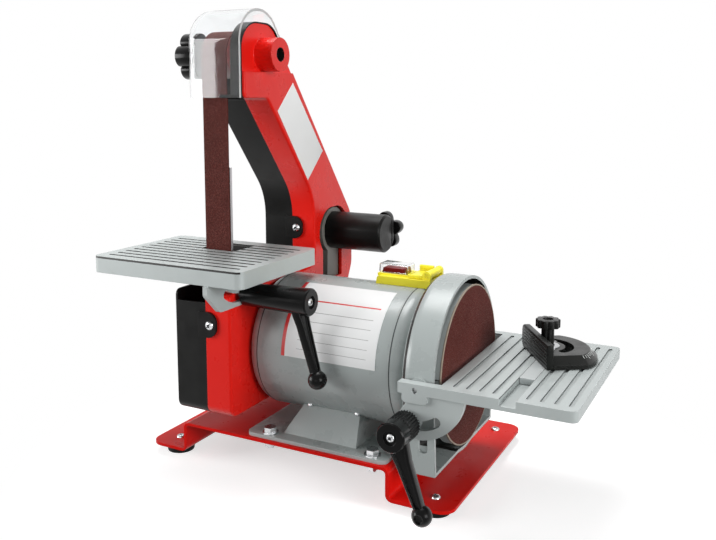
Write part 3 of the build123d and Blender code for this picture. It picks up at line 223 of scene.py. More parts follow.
def seen_directly(tree):
    """1 for rays that show the backdrop itself: straight, in a mirror or through clear plastic."""
    path = add(tree, "ShaderNodeLightPath").outputs
    mirrored = both(tree, path["Is Camera Ray"], path["Is Glossy Ray"], "MAXIMUM")
    return both(tree, mirrored, path["Is Transmission Ray"], "MAXIMUM")


def set_world():
    world = bpy.data.worlds.new("white_room")
    bpy.context.scene.world = world
    world.use_nodes = True
    tree = world.node_tree
    tree.nodes.clear()
    white = add(tree, "ShaderNodeBackground", {"Color": WHITE, "Strength": 1.0})
    room = add(tree, "ShaderNodeBackground", {"Color": WHITE, "Strength": ROOM_LIGHT})
    shown = blend(tree, seen_directly(tree), room, white)
    add(tree, "ShaderNodeOutputWorld", {"Surface": shown.outputs[0]})


def lay_floor():
    """White paper that keeps the machine's shadow and fades into the white room around it."""
    sheet = bmesh.new()
    bmesh.ops.create_grid(sheet, x_segments=FLOOR_SQUARES, y_segments=FLOOR_SQUARES, size=FLOOR_SIZE)
    mesh = bpy.data.meshes.new("studio_floor")
    sheet.to_mesh(mesh)
    sheet.free()
    floor = bpy.data.objects.new("studio_floor", mesh)
    bpy.context.scene.collection.objects.link(floor)
    mat = bpy.data.materials.new("white_paper")
    mat.use_nodes = True
    tree = mat.node_tree
    tree.nodes.clear()
    paper = add(tree, "ShaderNodeBsdfDiffuse", {"Color": PAPER})
    glow = add(tree, "ShaderNodeEmission", {"Color": WHITE, "Strength": PAPER_GLOW})
    lit = add(tree, "ShaderNodeAddShader", {0: paper.outputs[0], 1: glow.outputs[0]})
    white = add(tree, "ShaderNodeEmission", {"Color": WHITE, "Strength": 1.0})
    far = span(tree, length_of(tree, place(tree)), 0.0, 1.0, *PAPER_FADE)
    dull = add(tree, "ShaderNodeBsdfDiffuse", {"Color": PAPER_BOUNCE})
    shown = blend(tree, seen_directly(tree), dull, blend(tree, far, lit, white))
    add(tree, "ShaderNodeOutputMaterial", {"Surface": shown.outputs[0]})
    mesh.materials.append(mat)


# Finishes

# Hollows darkened with painted shade: a line along X, a radius and a reach, or limits of X, Y and Z.
GUARD_HOLLOW = ((0.0, 0.0), 68.3, (-28.6, -3.2))
BOSS_HOLLOW = ((-21.0, 243.0), 6.0, (-170.0, -160.1))
BELT_TABLE_GROOVES = ((-285.5, -141.5), (-110.5, 0.5), (78.3, 79.93))
BELT_TABLE_SLOT = ((-229.7, -194.3), (-44.8, -13.8), (60.0, 79.93))
DISC_TABLE_GROOVES = ((-25.5, 99.5), (-77.0, 77.0), (4.95, 5.93))
PAINTED_SHADE = (0.012, 0.011, 0.010)
GROOVE_PAINTED_SHADE = (0.09, 0.095, 0.095)


def finish(name, **settings):
    """A new material with its even values set straight on the shader."""
    mat = bpy.data.materials.new(name)
    mat.use_nodes = True
    shader = mat.node_tree.nodes["Principled BSDF"]
    for socket, value in settings.items():
        shader.inputs[socket.replace("_", " ")].default_value = value
    return mat, mat.node_tree, shader


def join(tree, shader, **sockets):
    """Joins what varies over the surface to the shader."""
    for name, socket in sockets.items():
        tree.links.new(socket, shader.inputs[name.replace("_", " ")])


def paint(name, colour, shade, rub_and_highlight, roughness, peel, gloss, hollow=None):
    """Sprayed or powder-coated paint: orange peel, faint clouding, edges rubbed lighter with a painted
    highlight, and painted shade in a given hollow.
    """
    mat, tree, shader = finish(name)
    eased = soft_edge(tree, 0.7)
    cloud = tint(tree, grain(tree, size=38.0, detail=4.0), shade, colour)
    coat = tint(tree, edge_wear_and_highlight(tree, eased, 0.45), cloud, rub_and_highlight)
    # Painted shade: the given hollow is darkened near to black.
    if hollow:
        coat = tint(tree, round_inside(tree, *hollow), coat, PAINTED_SHADE)
    join(tree, shader, Base_Color=coat, Specular_IOR_Level=sheen(tree, *gloss),
         Roughness=smudged(tree, roughness, 0.05, 0.08, size=16.0, detail=6.0),
         Normal=dent(tree, grain(tree, size=peel, detail=2.0), 0.012, eased))
    return mat


def cast_metal(name, colour, shade, rub_and_highlight, roughness, painted_groove_shade):
    """Cast and blasted aluminium: a fine pebble skin, brighter edges that are rubbed and carry a painted
    highlight, and painted shade in the tables' grooves and slot.
    """
    mat, tree, shader = finish(name, Metallic=0.12)
    eased = soft_edge(tree, 0.5)
    skin = grain(tree, size=0.7)
    cloud = tint(tree, grain(tree, size=22.0, detail=5.0), shade, colour)
    pits = tint(tree, span(tree, skin, 0.0, 0.35, start=0.55, end=0.75), cloud, shade)
    coat = tint(tree, edge_wear_and_highlight(tree, eased, 0.6), pits, rub_and_highlight)
    # Painted shade: the tables' grooves and the belt table's slot are darkened.
    if painted_groove_shade:
        coat = tint(tree, inside(tree, *DISC_TABLE_GROOVES), coat, GROOVE_PAINTED_SHADE)
        dark = both(tree, inside(tree, *BELT_TABLE_GROOVES), inside(tree, *BELT_TABLE_SLOT), "MAXIMUM")
        coat = tint(tree, dark, coat, PAINTED_SHADE)
    join(tree, shader, Base_Color=coat, Specular_IOR_Level=sheen(tree, 0.3, 1.0),
         Roughness=smudged(tree, roughness, 0.06, 0.1, size=9.0),
         Normal=dent(tree, skin, 0.02, eased))
    return mat


def moulding(name, colour, shade, rub_and_highlight, roughness, sparkle=0.45, ease=0.5, depth=0.012, gloss=(0.3, 0.4)):
    """Moulded plastic: spark-eroded grain, a little polish where it is held and paler edges, rubbed and with
    a painted highlight.
    """
    mat, tree, shader = finish(name)
    eased = soft_edge(tree, ease)
    cloud = tint(tree, grain(tree, size=18.0, detail=4.0), shade, colour)
    join(tree, shader, Base_Color=tint(tree, edge_wear_and_highlight(tree, eased, 0.35), cloud, rub_and_highlight),
         Specular_IOR_Level=sheen(tree, *gloss),
         Roughness=smudged(tree, roughness, 0.08, 0.1, size=12.0),
         Normal=dent(tree, grain(tree, size=sparkle, detail=2.0), depth, eased))
    return mat


def bare_metal(name, colour, shade, roughness, stretch, mark=0.35):
    """Turned or ground metal with fine marks along one direction."""
    mat, tree, shader = finish(name, Metallic=1.0)
    eased = soft_edge(tree, 0.25)
    lines = grain(tree, size=mark, detail=4.0, stretch=stretch)
    cloud = tint(tree, grain(tree, size=7.0, detail=5.0), shade, colour)
    join(tree, shader, Base_Color=tint(tree, span(tree, lines, 0.0, 0.5, start=0.4, end=0.7), cloud, shade),
         Roughness=span(tree, lines, roughness - 0.07, roughness + 0.12, *NOISE_BODY),
         Normal=dent(tree, lines, 0.008, eased))
    return mat


def grit(name, grain_colour, glue, glint, size):
    """Coated abrasive: closely packed grains in dark glue, some catching the light."""
    mat, tree, shader = finish(name, Specular_IOR_Level=0.12)
    values = {"Vector": place(tree), "Scale": 1 / (size * MM), "Randomness": 1.0}
    cells = add(tree, "ShaderNodeTexVoronoi", values).outputs
    rise = span(tree, cells["Distance"], 1.0, 0.0, start=0.0, end=0.7)
    bright = span(tree, cells["Color"], 0.0, 1.0, start=0.55, end=0.95)
    fleck = span(tree, grain(tree, size=1.3), 0.0, 0.5, start=0.52, end=0.7)
    wear = span(tree, grain(tree, size=26.0, detail=5.0), 0.0, 0.45, start=0.35, end=0.75)
    gap = span(tree, rise, 1.0, 0.0, start=0.05, end=0.45)
    stone = tint(tree, fleck, tint(tree, bright, grain_colour, glint), glint)
    join(tree, shader, Base_Color=tint(tree, gap, tint(tree, wear, stone, glue), glue),
         Roughness=span(tree, cells["Color"], 0.9, 0.5, start=0.3, end=1.0),
         Normal=dent(tree, rise, 0.16))
    return mat


SHIELD_RIM = (-178.0, -174.0)
RIM_SIDE, RIM_HIGHLIGHT_SHARE = 0.8, 0.7


def clear_moulding(name):
    """Clear polished plastic with the faintest moulding ripple, a few dusty patches and a pale painted
    highlight on the rim that faces +X.
    """
    mat, tree, shader = finish(name, Base_Color=(0.97, 0.98, 0.985, 1), Transmission_Weight=1.0, IOR=1.34,
                               Specular_IOR_Level=0.34)
    dust = span(tree, grain(tree, size=14.0, detail=6.0), 0.01, 0.07, start=0.45, end=0.75)
    join(tree, shader, Roughness=dust, Normal=dent(tree, grain(tree, size=30.0, detail=2.0), 0.02))
    # Painted highlight: the rim faces turned to +X get a pale diffuse mixed in.
    way = add(tree, "ShaderNodeTexCoord").outputs["Normal"]
    side = add(tree, "ShaderNodeSeparateXYZ", {0: way}).outputs["X"]
    edge = between(tree, along(tree, "X"), *SHIELD_RIM)
    rim = both(tree, both(tree, side, RIM_SIDE, "GREATER_THAN"), edge)
    pale = add(tree, "ShaderNodeBsdfDiffuse", {"Color": (0.82, 0.84, 0.84, 1)})
    rim_highlight = blend(tree, both(tree, rim, RIM_HIGHLIGHT_SHARE), shader, pale)
    open_way = add(tree, "ShaderNodeBsdfTransparent", {"Color": (0.93, 0.94, 0.95, 1)})
    path = add(tree, "ShaderNodeLightPath").outputs
    lit = both(tree, path["Is Shadow Ray"], path["Is Diffuse Ray"], "MAXIMUM")
    shown = blend(tree, lit, rim_highlight, open_way)
    tree.links.new(shown.outputs[0], tree.nodes["Material Output"].inputs["Surface"])
    return mat


PLATE_LEFT, PLATE_RIGHT = -140.0, -56.0
PLATE_RULES, RULE_WIDTH = (9.5, 16.5, 23.5, 30.5, 37.0), 0.3
RULE_LEFT, RULE_RIGHT = PLATE_LEFT + 14, PLATE_RIGHT - 8
HEAD_RULE, HEAD_LEFT, HEAD_RIGHT = (44.2, 45.0), PLATE_LEFT + 10, PLATE_RIGHT - 5
MARGIN = (PLATE_LEFT - 1, PLATE_LEFT + 3.2)
RULE_GREY, RULE_RED = (0.22, 0.22, 0.22), (0.62, 0.03, 0.03)


def blank_plate(name, white, printed):
    """A white enamelled plate, plain, or with a red margin and empty ruled lines."""
    mat, tree, shader = finish(name, Specular_IOR_Level=0.4)
    coat = tint(tree, grain(tree, size=24.0, detail=4.0), [c * 0.94 for c in white], white)
    if printed:
        lines = between(tree, along(tree, "Z"), PLATE_RULES[0], PLATE_RULES[0] + RULE_WIDTH)
        for height in PLATE_RULES[1:]:
            line = between(tree, along(tree, "Z"), height, height + RULE_WIDTH)
            lines = both(tree, lines, line, "MAXIMUM")
        ruled = both(tree, lines, between(tree, along(tree, "X"), RULE_LEFT, RULE_RIGHT))
        coat = tint(tree, ruled, coat, RULE_GREY)
        margin = between(tree, along(tree, "X"), *MARGIN)
        head = both(tree, between(tree, along(tree, "Z"), *HEAD_RULE),
                    between(tree, along(tree, "X"), HEAD_LEFT, HEAD_RIGHT))
        coat = tint(tree, both(tree, margin, head, "MAXIMUM"), coat, RULE_RED)
    join(tree, shader, Base_Color=coat, Roughness=smudged(tree, 0.35, 0.07, 0.07, size=9.0),
         Normal=dent(tree, grain(tree, size=2.0, detail=2.0), 0.004))
    return mat


BLACK = (0.009, 0.009, 0.0085)
DEEP_BLACK = (0.005, 0.005, 0.005)
JET_BLACK = (0.003, 0.003, 0.003)
EDGE_WEAR_AND_HIGHLIGHT_BLACK = (0.045, 0.046, 0.044)
EVEN = (3.0, 3.0, 3.0)

# Each finish: its name, its colour, a deeper shade, for coats the tone of edges that are rubbed and painted
# with a highlight, and its surface.
FINISHES = {
    "red_paint": paint("red_powder_coat", (0.78, 0.013, 0.007), (0.71, 0.010, 0.006), (0.84, 0.05, 0.035),
                       roughness=0.28, peel=1.3, gloss=(0.1, 0.55), hollow=BOSS_HOLLOW),
    "base_red": paint("base_powder_coat", (0.68, 0.010, 0.006), (0.6, 0.007, 0.005), (0.8, 0.05, 0.035),
                      roughness=0.3, peel=1.3, gloss=(0.05, 0.08)),
    "grey_paint": paint("grey_enamel", (0.36, 0.395, 0.39), (0.33, 0.365, 0.36), (0.5, 0.53, 0.53),
                        roughness=0.28, peel=1.6, gloss=(0.4, 0.5), hollow=GUARD_HOLLOW),
    "arm_grey": paint("arm_enamel", (0.17, 0.166, 0.152), (0.14, 0.137, 0.125), (0.3, 0.29, 0.28),
                      roughness=0.34, peel=1.6, gloss=(0.15, 0.3)),
    "cast_aluminium": cast_metal("cast_tables", (0.46, 0.5, 0.495), (0.4, 0.435, 0.43), (0.66, 0.69, 0.69),
                                 roughness=0.4, painted_groove_shade=True),
    "drawn_bar": cast_metal("drawn_bar", (0.52, 0.55, 0.55), (0.46, 0.49, 0.49), (0.68, 0.7, 0.7),
                            roughness=0.4, painted_groove_shade=False),
    "black_plastic": moulding("black_moulding", BLACK, DEEP_BLACK, EDGE_WEAR_AND_HIGHLIGHT_BLACK, roughness=0.36,
                              gloss=(0.07, 0.26)),
    "lever_black": moulding("lever_enamel", DEEP_BLACK, JET_BLACK, EDGE_WEAR_AND_HIGHLIGHT_BLACK, roughness=0.2, sparkle=0.9,
                            ease=0.4, depth=0.006, gloss=(0.08, 0.3)),
    "mitre_black": moulding("mitre_enamel", (0.012, 0.013, 0.012), BLACK, EDGE_WEAR_AND_HIGHLIGHT_BLACK,
                            roughness=0.3, sparkle=0.8, depth=0.02, gloss=(0.09, 0.3)),
    "rubber": moulding("foot_rubber", DEEP_BLACK, BLACK, EDGE_WEAR_AND_HIGHLIGHT_BLACK, roughness=0.75, sparkle=0.8, ease=0.8,
                       depth=0.04, gloss=(0.1, 0.2)),
    "yellow_plastic": moulding("yellow_moulding", (0.98, 0.88, 0.055), (0.93, 0.82, 0.04), (0.98, 0.92, 0.3),
                               roughness=0.34, sparkle=0.8),
    "red_plastic": moulding("rocker_moulding", (0.15, 0.006, 0.006), (0.11, 0.004, 0.004), (0.2, 0.02, 0.02),
                            roughness=0.3, sparkle=0.8, gloss=(0.1, 0.2)),
    "seam": moulding("seam_filler", (0.05, 0.055, 0.055), (0.035, 0.04, 0.04), (0.12, 0.13, 0.13),
                     roughness=0.5),
    "fibre": moulding("disc_fibre", (0.36, 0.3, 0.24), (0.27, 0.22, 0.17), (0.45, 0.4, 0.33),
                      roughness=0.7, sparkle=0.5),
    "scale_white": moulding("scale_paint", (0.62, 0.64, 0.63), (0.5, 0.52, 0.51), (0.7, 0.7, 0.7),
                            roughness=0.5),
    "steel": bare_metal("machined_steel", (0.56, 0.56, 0.57), (0.42, 0.42, 0.43),
                        roughness=0.32, stretch=(1.0, 14.0, 14.0)),
    "bright_screws": bare_metal("zinc_plate", (0.66, 0.67, 0.68), (0.45, 0.46, 0.47),
                                roughness=0.22, stretch=EVEN, mark=1.2),
    "screw_recess": bare_metal("sunk_zinc", (0.05, 0.05, 0.052), (0.03, 0.03, 0.032),
                               roughness=0.5, stretch=EVEN, mark=1.2),
    "black_oxide": bare_metal("black_oxide", (0.03, 0.03, 0.032), (0.015, 0.015, 0.016),
                              roughness=0.4, stretch=(1.0, 6.0, 6.0)),
    "core_iron": bare_metal("core_laminations", (0.2, 0.2, 0.21), (0.1, 0.1, 0.11),
                            roughness=0.5, stretch=(14.0, 1.0, 1.0), mark=0.5),
    "copper": bare_metal("winding_copper", (0.6, 0.27, 0.12), (0.35, 0.14, 0.06),
                         roughness=0.35, stretch=(1.0, 8.0, 8.0), mark=0.8),
    "abrasive": grit("red_grit", (0.118, 0.025, 0.02), glue=(0.05, 0.011, 0.008), glint=(0.2, 0.065, 0.054),
                     size=0.42),
    "clear_plastic": clear_moulding("clear_shield_plastic"),
    "motor_plate": blank_plate("enamelled_motor_plate", (0.8, 0.81, 0.81), printed=True),
    "arm_plate": blank_plate("enamelled_arm_plate", (0.86, 0.87, 0.87), printed=False),
}

# Nodes whose finish differs from the rest of their slot.
SINGLED_OUT = {
    "base_plate": "base_red",
    "tension_arm": "arm_grey",
    # The upper axle is black so that its end shows as painted shade inside the boss's bore.
    "upper_axle": "black_oxide",
    "mitre_bar": "drawn_bar",
}


def dress_nodes():
    """Gives every node of the machine its detailed finish, by the slot it was packed with or by its name."""
    for name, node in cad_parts.items():
        for slot in node.material_slots:
            look = SINGLED_OUT.get(name, slot.material.name.split(".")[0])
            slot.material = FINISHES.get(look, FINISHES["steel"])


# Making pieces, drawn in the machine's own millimetres

TO_FRAME = Matrix.Scale(MM, 4) @ Matrix.Translation(MACHINE_ZERO)
SHARP = math.radians(32)
SAME_PLACE = 1e-4
X, Y, Z = (1, 0, 0), (0, 1, 0), (0, 0, 1)
LEFT, FRONT = (-1, 0, 0), (0, -1, 0)
ZERO = (0, 0, 0)


def move(part, matrix):
    bmesh.ops.transform(part, matrix=matrix, verts=part.verts)


def face_outward(part):
    bmesh.ops.recalc_face_normals(part, faces=part.faces)


def up(height):
    return Matrix.Translation((0, 0, height))


def turned(profile, steps=48):
    """A solid of revolution about Z from its (radius, height) profile."""
    part = bmesh.new()
    verts = [part.verts.new((radius, 0, height)) for radius, height in profile]
    edges = [part.edges.new(pair) for pair in zip(verts, verts[1:])]
    bmesh.ops.spin(part, geom=verts + edges, axis=Z, cent=ZERO, dvec=ZERO,
                   angle=math.tau, steps=steps, use_merge=True, use_duplicate=False)
    bmesh.ops.remove_doubles(part, verts=part.verts, dist=SAME_PLACE)
    face_outward(part)
    return part


def raised(part, faces, rise):
    """Draws faces out along Z and gives the new end faces."""
    grown = bmesh.ops.extrude_face_region(part, geom=faces)["geom"]
    moved = [g for g in grown if isinstance(g, bmesh.types.BMVert)]
    bmesh.ops.translate(part, verts=moved, vec=(0, 0, rise))
    face_outward(part)
    return [g for g in grown if isinstance(g, bmesh.types.BMFace)]


def sunk(part, faces, depth):
    """Draws faces of a closed part in along Z and gives the floor of the hollow."""
    floor = raised(part, faces, -depth)
    bmesh.ops.delete(part, geom=faces, context="FACES")
    face_outward(part)
    return floor


def sheet_of(corners, thickness):
    """A flat plate of this outline, standing on Z = 0."""
    part = bmesh.new()
    face = part.faces.new([part.verts.new((x, y, 0)) for x, y in corners])
    raised(part, [face], thickness)
    return part


def block(low, high):
    """A box between two corners, whose edges are softened afterwards."""
    part = bmesh.new()
    size = Vector(high) - Vector(low)
    matrix = Matrix.Translation((Vector(low) + Vector(high)) / 2) @ Matrix.Diagonal((*size, 1))
    bmesh.ops.create_cube(part, size=1, matrix=matrix)
    return part


def soften(part, width, segments=3, angle=30):
    """Rounds the edges that are sharper than an angle."""
    limit = math.radians(angle)
    edges = [e for e in part.edges if e.is_manifold and e.calc_face_angle(0) > limit]
    bmesh.ops.bevel(part, geom=edges, offset=width, offset_type="OFFSET", segments=segments, profile=0.5,
                    affect="EDGES", clamp_overlap=True, material=-1)
    return part


def lobed(count, core, reach, fullness, height, per_lobe=14):
    """A bar with a lobed outline; a small fullness makes the lobes wide and the hollows narrow."""
    part = bmesh.new()
    bmesh.ops.create_circle(part, cap_ends=True, segments=count * per_lobe, radius=1.0)
    for vert in part.verts:
        wave = 0.5 + 0.5 * math.cos(count * math.atan2(vert.co.y, vert.co.x))
        vert.co *= core + (reach - core) * wave ** fullness
    raised(part, list(part.faces), height)
    return part


def top_face(part):
    """The widest of the highest faces."""
    return max(part.faces, key=lambda f: (round(f.calc_center_median().z, 2), f.calc_area()))


HOLLOW_SLOPE = 0.4


def channelled(part, rim, depth):
    """Sinks the top face, leaving a rim."""
    face = top_face(part)
    bmesh.ops.inset_region(part, faces=[face], thickness=rim, depth=0, use_even_offset=True)
    bmesh.ops.inset_region(part, faces=[face], thickness=HOLLOW_SLOPE, depth=-depth, use_even_offset=True)


def dished(part, radius, depth):
    """Sinks a round hollow in the middle of the top face."""
    face = top_face(part)
    for reach, drop in ((radius, 0), (radius - HOLLOW_SLOPE, depth)):
        face = sunk(part, [face], drop)[0]
        for vert in face.verts:
            vert.co.xy = vert.co.xy.normalized() * reach
    bmesh.ops.remove_doubles(part, verts=part.verts, dist=SAME_PLACE)
    face_outward(part)


def sliced(part, spot, way):
    """Cuts away what lies beyond a plane and closes the cut."""
    geom = part.verts[:] + part.edges[:] + part.faces[:]
    cut = bmesh.ops.bisect_plane(part, geom=geom, plane_co=spot, plane_no=way, clear_outer=True)["geom_cut"]
    bmesh.ops.edgeloop_fill(part, edges=[g for g in cut if isinstance(g, bmesh.types.BMEdge)])


def gather(shape, part, matrix=None):
    """Adds a finished part to a shape, moved by a matrix, and lets go of the part."""
    if matrix is not None:
        move(part, matrix)
    carrier = bpy.data.meshes.new("carrier")
    part.to_mesh(carrier)
    part.free()
    shape.from_mesh(carrier)
    bpy.data.meshes.remove(carrier)


def stand(origin, axis, side=None):
    """Sets Z of a part along an axis from an origin, and X towards a side."""
    z = Vector(axis).normalized()
    x = Vector(side) if side else z.orthogonal()
    x = (x - z * x.dot(z)).normalized()
    return Matrix.Translation(origin) @ Matrix((x, z.cross(x), z)).transposed().to_4x4()


def mount(name, shape, body, slot, nodes=(), look=None, inlays=()):
    """Makes a shape a piece on its body, smooth but for its sharp edges."""
    move(shape, TO_FRAME)
    for face in shape.faces:
        face.smooth = True
    for edge in shape.edges:
        edge.smooth = edge.is_manifold and edge.calc_face_angle(0) < SHARP
    mesh = bpy.data.meshes.new(name)
    shape.to_mesh(mesh)
    shape.free()
    for coat in (look or slot, *inlays):
        mesh.materials.append(FINISHES[coat])
    piece = bpy.data.objects.new(name, mesh)
    bpy.context.scene.collection.objects.link(piece)
    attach(piece, body)
    if nodes:
        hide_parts(*nodes)


# Clamp levers

HUB_SEAT, HUB_END, HUB_HOLLOW, HUB_SINK = 9.2, 11.0, 5.2, 1.8
RIB_COUNT, RIB_LOW, RIB_HIGH = 30, HUB_SEAT + 0.6, HUB_SEAT + 1.6
ARM_THICKNESS, ARM_RIM, ARM_SINK = 7.0, 0.9, 1.6
ARM_HALVES, ARM_NECK, ARM_NECK_HALF = ((0, 8.2), (9, 7.6), (20, 5.6)), 4, 3.5
BALL = 7.5
DIMPLE = ((3.1, BALL - 1.2), (2.6, BALL - 2.4), (0, BALL - 2.8))


def lever(length, reach, root, splay, ribs):
    """A clamp lever: ribbed sleeve, coned hub with a hollow end, channelled arm and a dimpled ball.

    The arm leaves the hub at the root, measured from the hub's end, and splays away from the seat.
    """
    shape = bmesh.new()
    hub = [(0, length - HUB_SINK), (HUB_HOLLOW - 0.4, length - HUB_SINK), (HUB_HOLLOW, length),
           (HUB_END - 0.9, length), (HUB_END, length - 1.2), (HUB_SEAT, 0.6), (HUB_SEAT - 0.6, 0), (0, 0)]
    gather(shape, turned(hub, 56))
    low, high = ribs
    gather(shape, lobed(RIB_COUNT, RIB_LOW, RIB_HIGH, 0.8, high - low, 6), up(low))
    swing = up(length - root) @ Matrix.Rotation(math.radians(-splay), 4, "Y")
    reach /= math.cos(math.radians(splay))
    half = [*ARM_HALVES, (reach - ARM_NECK, ARM_NECK_HALF)]
    arm = sheet_of([(x, -y) for x, y in half] + [(x, y) for x, y in reversed(half)], ARM_THICKNESS)
    soften(arm, 1.1, angle=50)
    channelled(arm, ARM_RIM, ARM_SINK)
    gather(shape, arm, swing @ up(-ARM_THICKNESS / 2))
    turns = [math.radians(a) for a in range(0, 151, 10)]
    ball = [(BALL * math.sin(a), -BALL * math.cos(a)) for a in turns]
    gather(shape, turned([*ball, *DIMPLE], 36), swing @ Matrix.Translation((reach, 0, 0)))
    return shape


BELT_BOLT, BELT_BALL = (-63.235, 51.022), (-66.2, -8.9)
BELT_LEVER_SEAT, BELT_LEVER_LENGTH = -169.2, 62.0
BELT_LEVER_ROOT, BELT_LEVER_SPLAY = 13.0, 18.0
BELT_LEVER_RIBS = (BELT_LEVER_LENGTH - 4.6, BELT_LEVER_LENGTH - 2.2)
DISC_CLAMP, DISC_BALL = (-20.0, -25.0), (1.1, -80.1)
DISC_LEVER_SEAT, DISC_LEVER_LENGTH, DISC_LEVER_ROOT = -76.4, 30.0, 8.5
DISC_LEVER_RIBS = (1.5, DISC_LEVER_LENGTH - 13)


def clamp_levers():
    away = Vector((0, BELT_BALL[0] - BELT_BOLT[0], BELT_BALL[1] - BELT_BOLT[1]))
    shape = lever(BELT_LEVER_LENGTH, away.length, BELT_LEVER_ROOT, BELT_LEVER_SPLAY, BELT_LEVER_RIBS)
    move(shape, stand((BELT_LEVER_SEAT, *BELT_BOLT), X, away))
    mount("belt_table_clamp_lever", shape, "belt_table_lever", "black_plastic",
          nodes=("belt_table_lever",), look="lever_black")
    away = Vector((DISC_BALL[0] - DISC_CLAMP[0], 0, DISC_BALL[1] - DISC_CLAMP[1]))
    shape = lever(DISC_LEVER_LENGTH, away.length, DISC_LEVER_ROOT, 0, DISC_LEVER_RIBS)
    move(shape, stand((DISC_CLAMP[0], DISC_LEVER_SEAT, DISC_CLAMP[1]), FRONT, away))
    mount("disc_table_clamp_lever", shape, "disc_table_lever", "black_plastic",
          nodes=("disc_table_lever",), look="lever_black")


# Cross-head screws

# The head's profile as shares of its radius and of its height, and the rest as shares of its radius.
HEAD_PROFILE = ((0, 1), (0.34, 0.98), (0.62, 0.89), (0.88, 0.58), (1, 0.16), (1, 0), (0.5, 0))
HEAD_RISE, SHANK_RADIUS, CROSS_MIDDLE, CROSS_SINK = 0.55, 0.5, 0.3, 0.34
CROSS_LOW, CROSS_ARM = 0.9, 22


def cross_screw(shape, radius, shank, matrix):
    """A pan-head screw seated on Z = 0, with a cross sunk in its head."""
    rise = HEAD_RISE * radius
    head = [(radius * r, rise * h) for r, h in HEAD_PROFILE]
    part = turned(head + [(SHANK_RADIUS * radius, -shank), (0, -shank)], 16)
    cross = []
    for face in part.faces:
        middle = face.calc_center_median()
        arm = math.degrees(math.atan2(middle.y, middle.x)) % 90 < CROSS_ARM
        if middle.z > CROSS_LOW * rise and (arm or middle.xy.length < CROSS_MIDDLE * radius):
            cross.append(face)
    for face in sunk(part, cross, CROSS_SINK * radius):
        face.material_index = 1
    gather(shape, part, matrix)


SCREW_HEAD, LEVER_SCREW_HEAD = 3.9, 3.4
COVER_SHANK, FOOT_SHANK, LEVER_SHANK = 6, 7, 5
COVER_SCREWS = (((-192.5, -80.5, 26), -1), ((-192.5, 53, 87), -1), ((-192.5, 133, 62), 1))
FOOT_SCREW_X, FOOT_SCREW_Y = (-253, -9), (-47, 97)
FLANGE_TOP = -92.0
CROSS = ("screw_recess",)


def screws():
    shape = bmesh.new()
    for seat, way in COVER_SCREWS:
        cross_screw(shape, SCREW_HEAD, COVER_SHANK, stand(seat, (0, way, 0), (1, 0, 0.6)))
    mount("cover_cross_screws", shape, "machine", "bright_screws", nodes=("cover_screws",), inlays=CROSS)
    shape = bmesh.new()
    for x in FOOT_SCREW_X:
        for y in FOOT_SCREW_Y:
            cross_screw(shape, SCREW_HEAD, FOOT_SHANK, stand((x, y, FLANGE_TOP), Z, (1, 0.4, 0)))
    mount("foot_cross_screws", shape, "machine", "bright_screws", nodes=("foot_screws",), inlays=CROSS)
    shape = bmesh.new()
    end = BELT_LEVER_SEAT + BELT_LEVER_LENGTH - HUB_SINK
    cross_screw(shape, LEVER_SCREW_HEAD, LEVER_SHANK, stand((end, *BELT_BOLT), X, (0, 1, 0.7)))
    mount("belt_lever_cross_screw", shape, "belt_table_lever", "bright_screws",
          nodes=("belt_table_lever_screw",), inlays=CROSS)
    shape = bmesh.new()
    end = (DISC_CLAMP[0], DISC_LEVER_SEAT - DISC_LEVER_LENGTH + HUB_SINK, DISC_CLAMP[1])
    cross_screw(shape, LEVER_SCREW_HEAD, LEVER_SHANK, stand(end, FRONT, (1, 0, 0.5)))
    mount("disc_lever_cross_screw", shape, "disc_table_lever", "bright_screws",
          nodes=("disc_table_lever_screw",), inlays=CROSS)


# Star knobs

STAR_LOBES, STAR_EASE = 5, 1.4
STAR_HOLLOW, STAR_SINK = 0.6, 1.2
SHIELD_KNOB = (-232.0, -21.0, 243.0)
TRACKING_KNOB = (-131.0, 112.9, 80.0)


def star(neck, grip, neck_radius, core, reach, fullness):
    """A star knob seated on Z = 0: a short neck and a lobed grip with a hollow in its face."""
    shape = bmesh.new()
    part = lobed(STAR_LOBES, core, reach, fullness, grip, 24)
    soften(part, STAR_EASE, angle=60)
    dished(part, STAR_HOLLOW * core, STAR_SINK)
    gather(shape, part, up(neck))
    top = neck + 1
    gather(shape, turned([(0, top), (neck_radius, top), (neck_radius, 0.5), (neck_radius - 0.5, 0), (0, 0)]))
    return shape


def star_knobs():
    shape = star(neck=6.0, grip=16.0, neck_radius=11.0, core=13.6, reach=20.0, fullness=0.24)
    move(shape, stand(SHIELD_KNOB, LEFT, FRONT))
    mount("shield_star_knob", shape, "shield_knob", "black_plastic",
          nodes=("shield_knob",), look="lever_black")
    shape = star(neck=2.0, grip=9.0, neck_radius=10.0, core=11.6, reach=18.0, fullness=0.5)
    move(shape, stand(TRACKING_KNOB, Y, Z))
    mount("tracking_star_knob", shape, "tracking_knob", "black_plastic",
          nodes=("tracking_knob",), look="lever_black")


# Tension handle

HANDLE_AXIS, HANDLE_RADIUS = (97.5, 80.0), 18.0
HANDLE_FRONT, HANDLE_BACK = HANDLE_AXIS[0] - HANDLE_RADIUS + 0.5, 112.5
HANDLE_LEFT, HANDLE_RIGHT = -177.4, -119.0
PARTING, PARTING_HALF, PARTING_CORE, PARTING_DEPTH = 107.6, 0.5, 1.0, 0.8


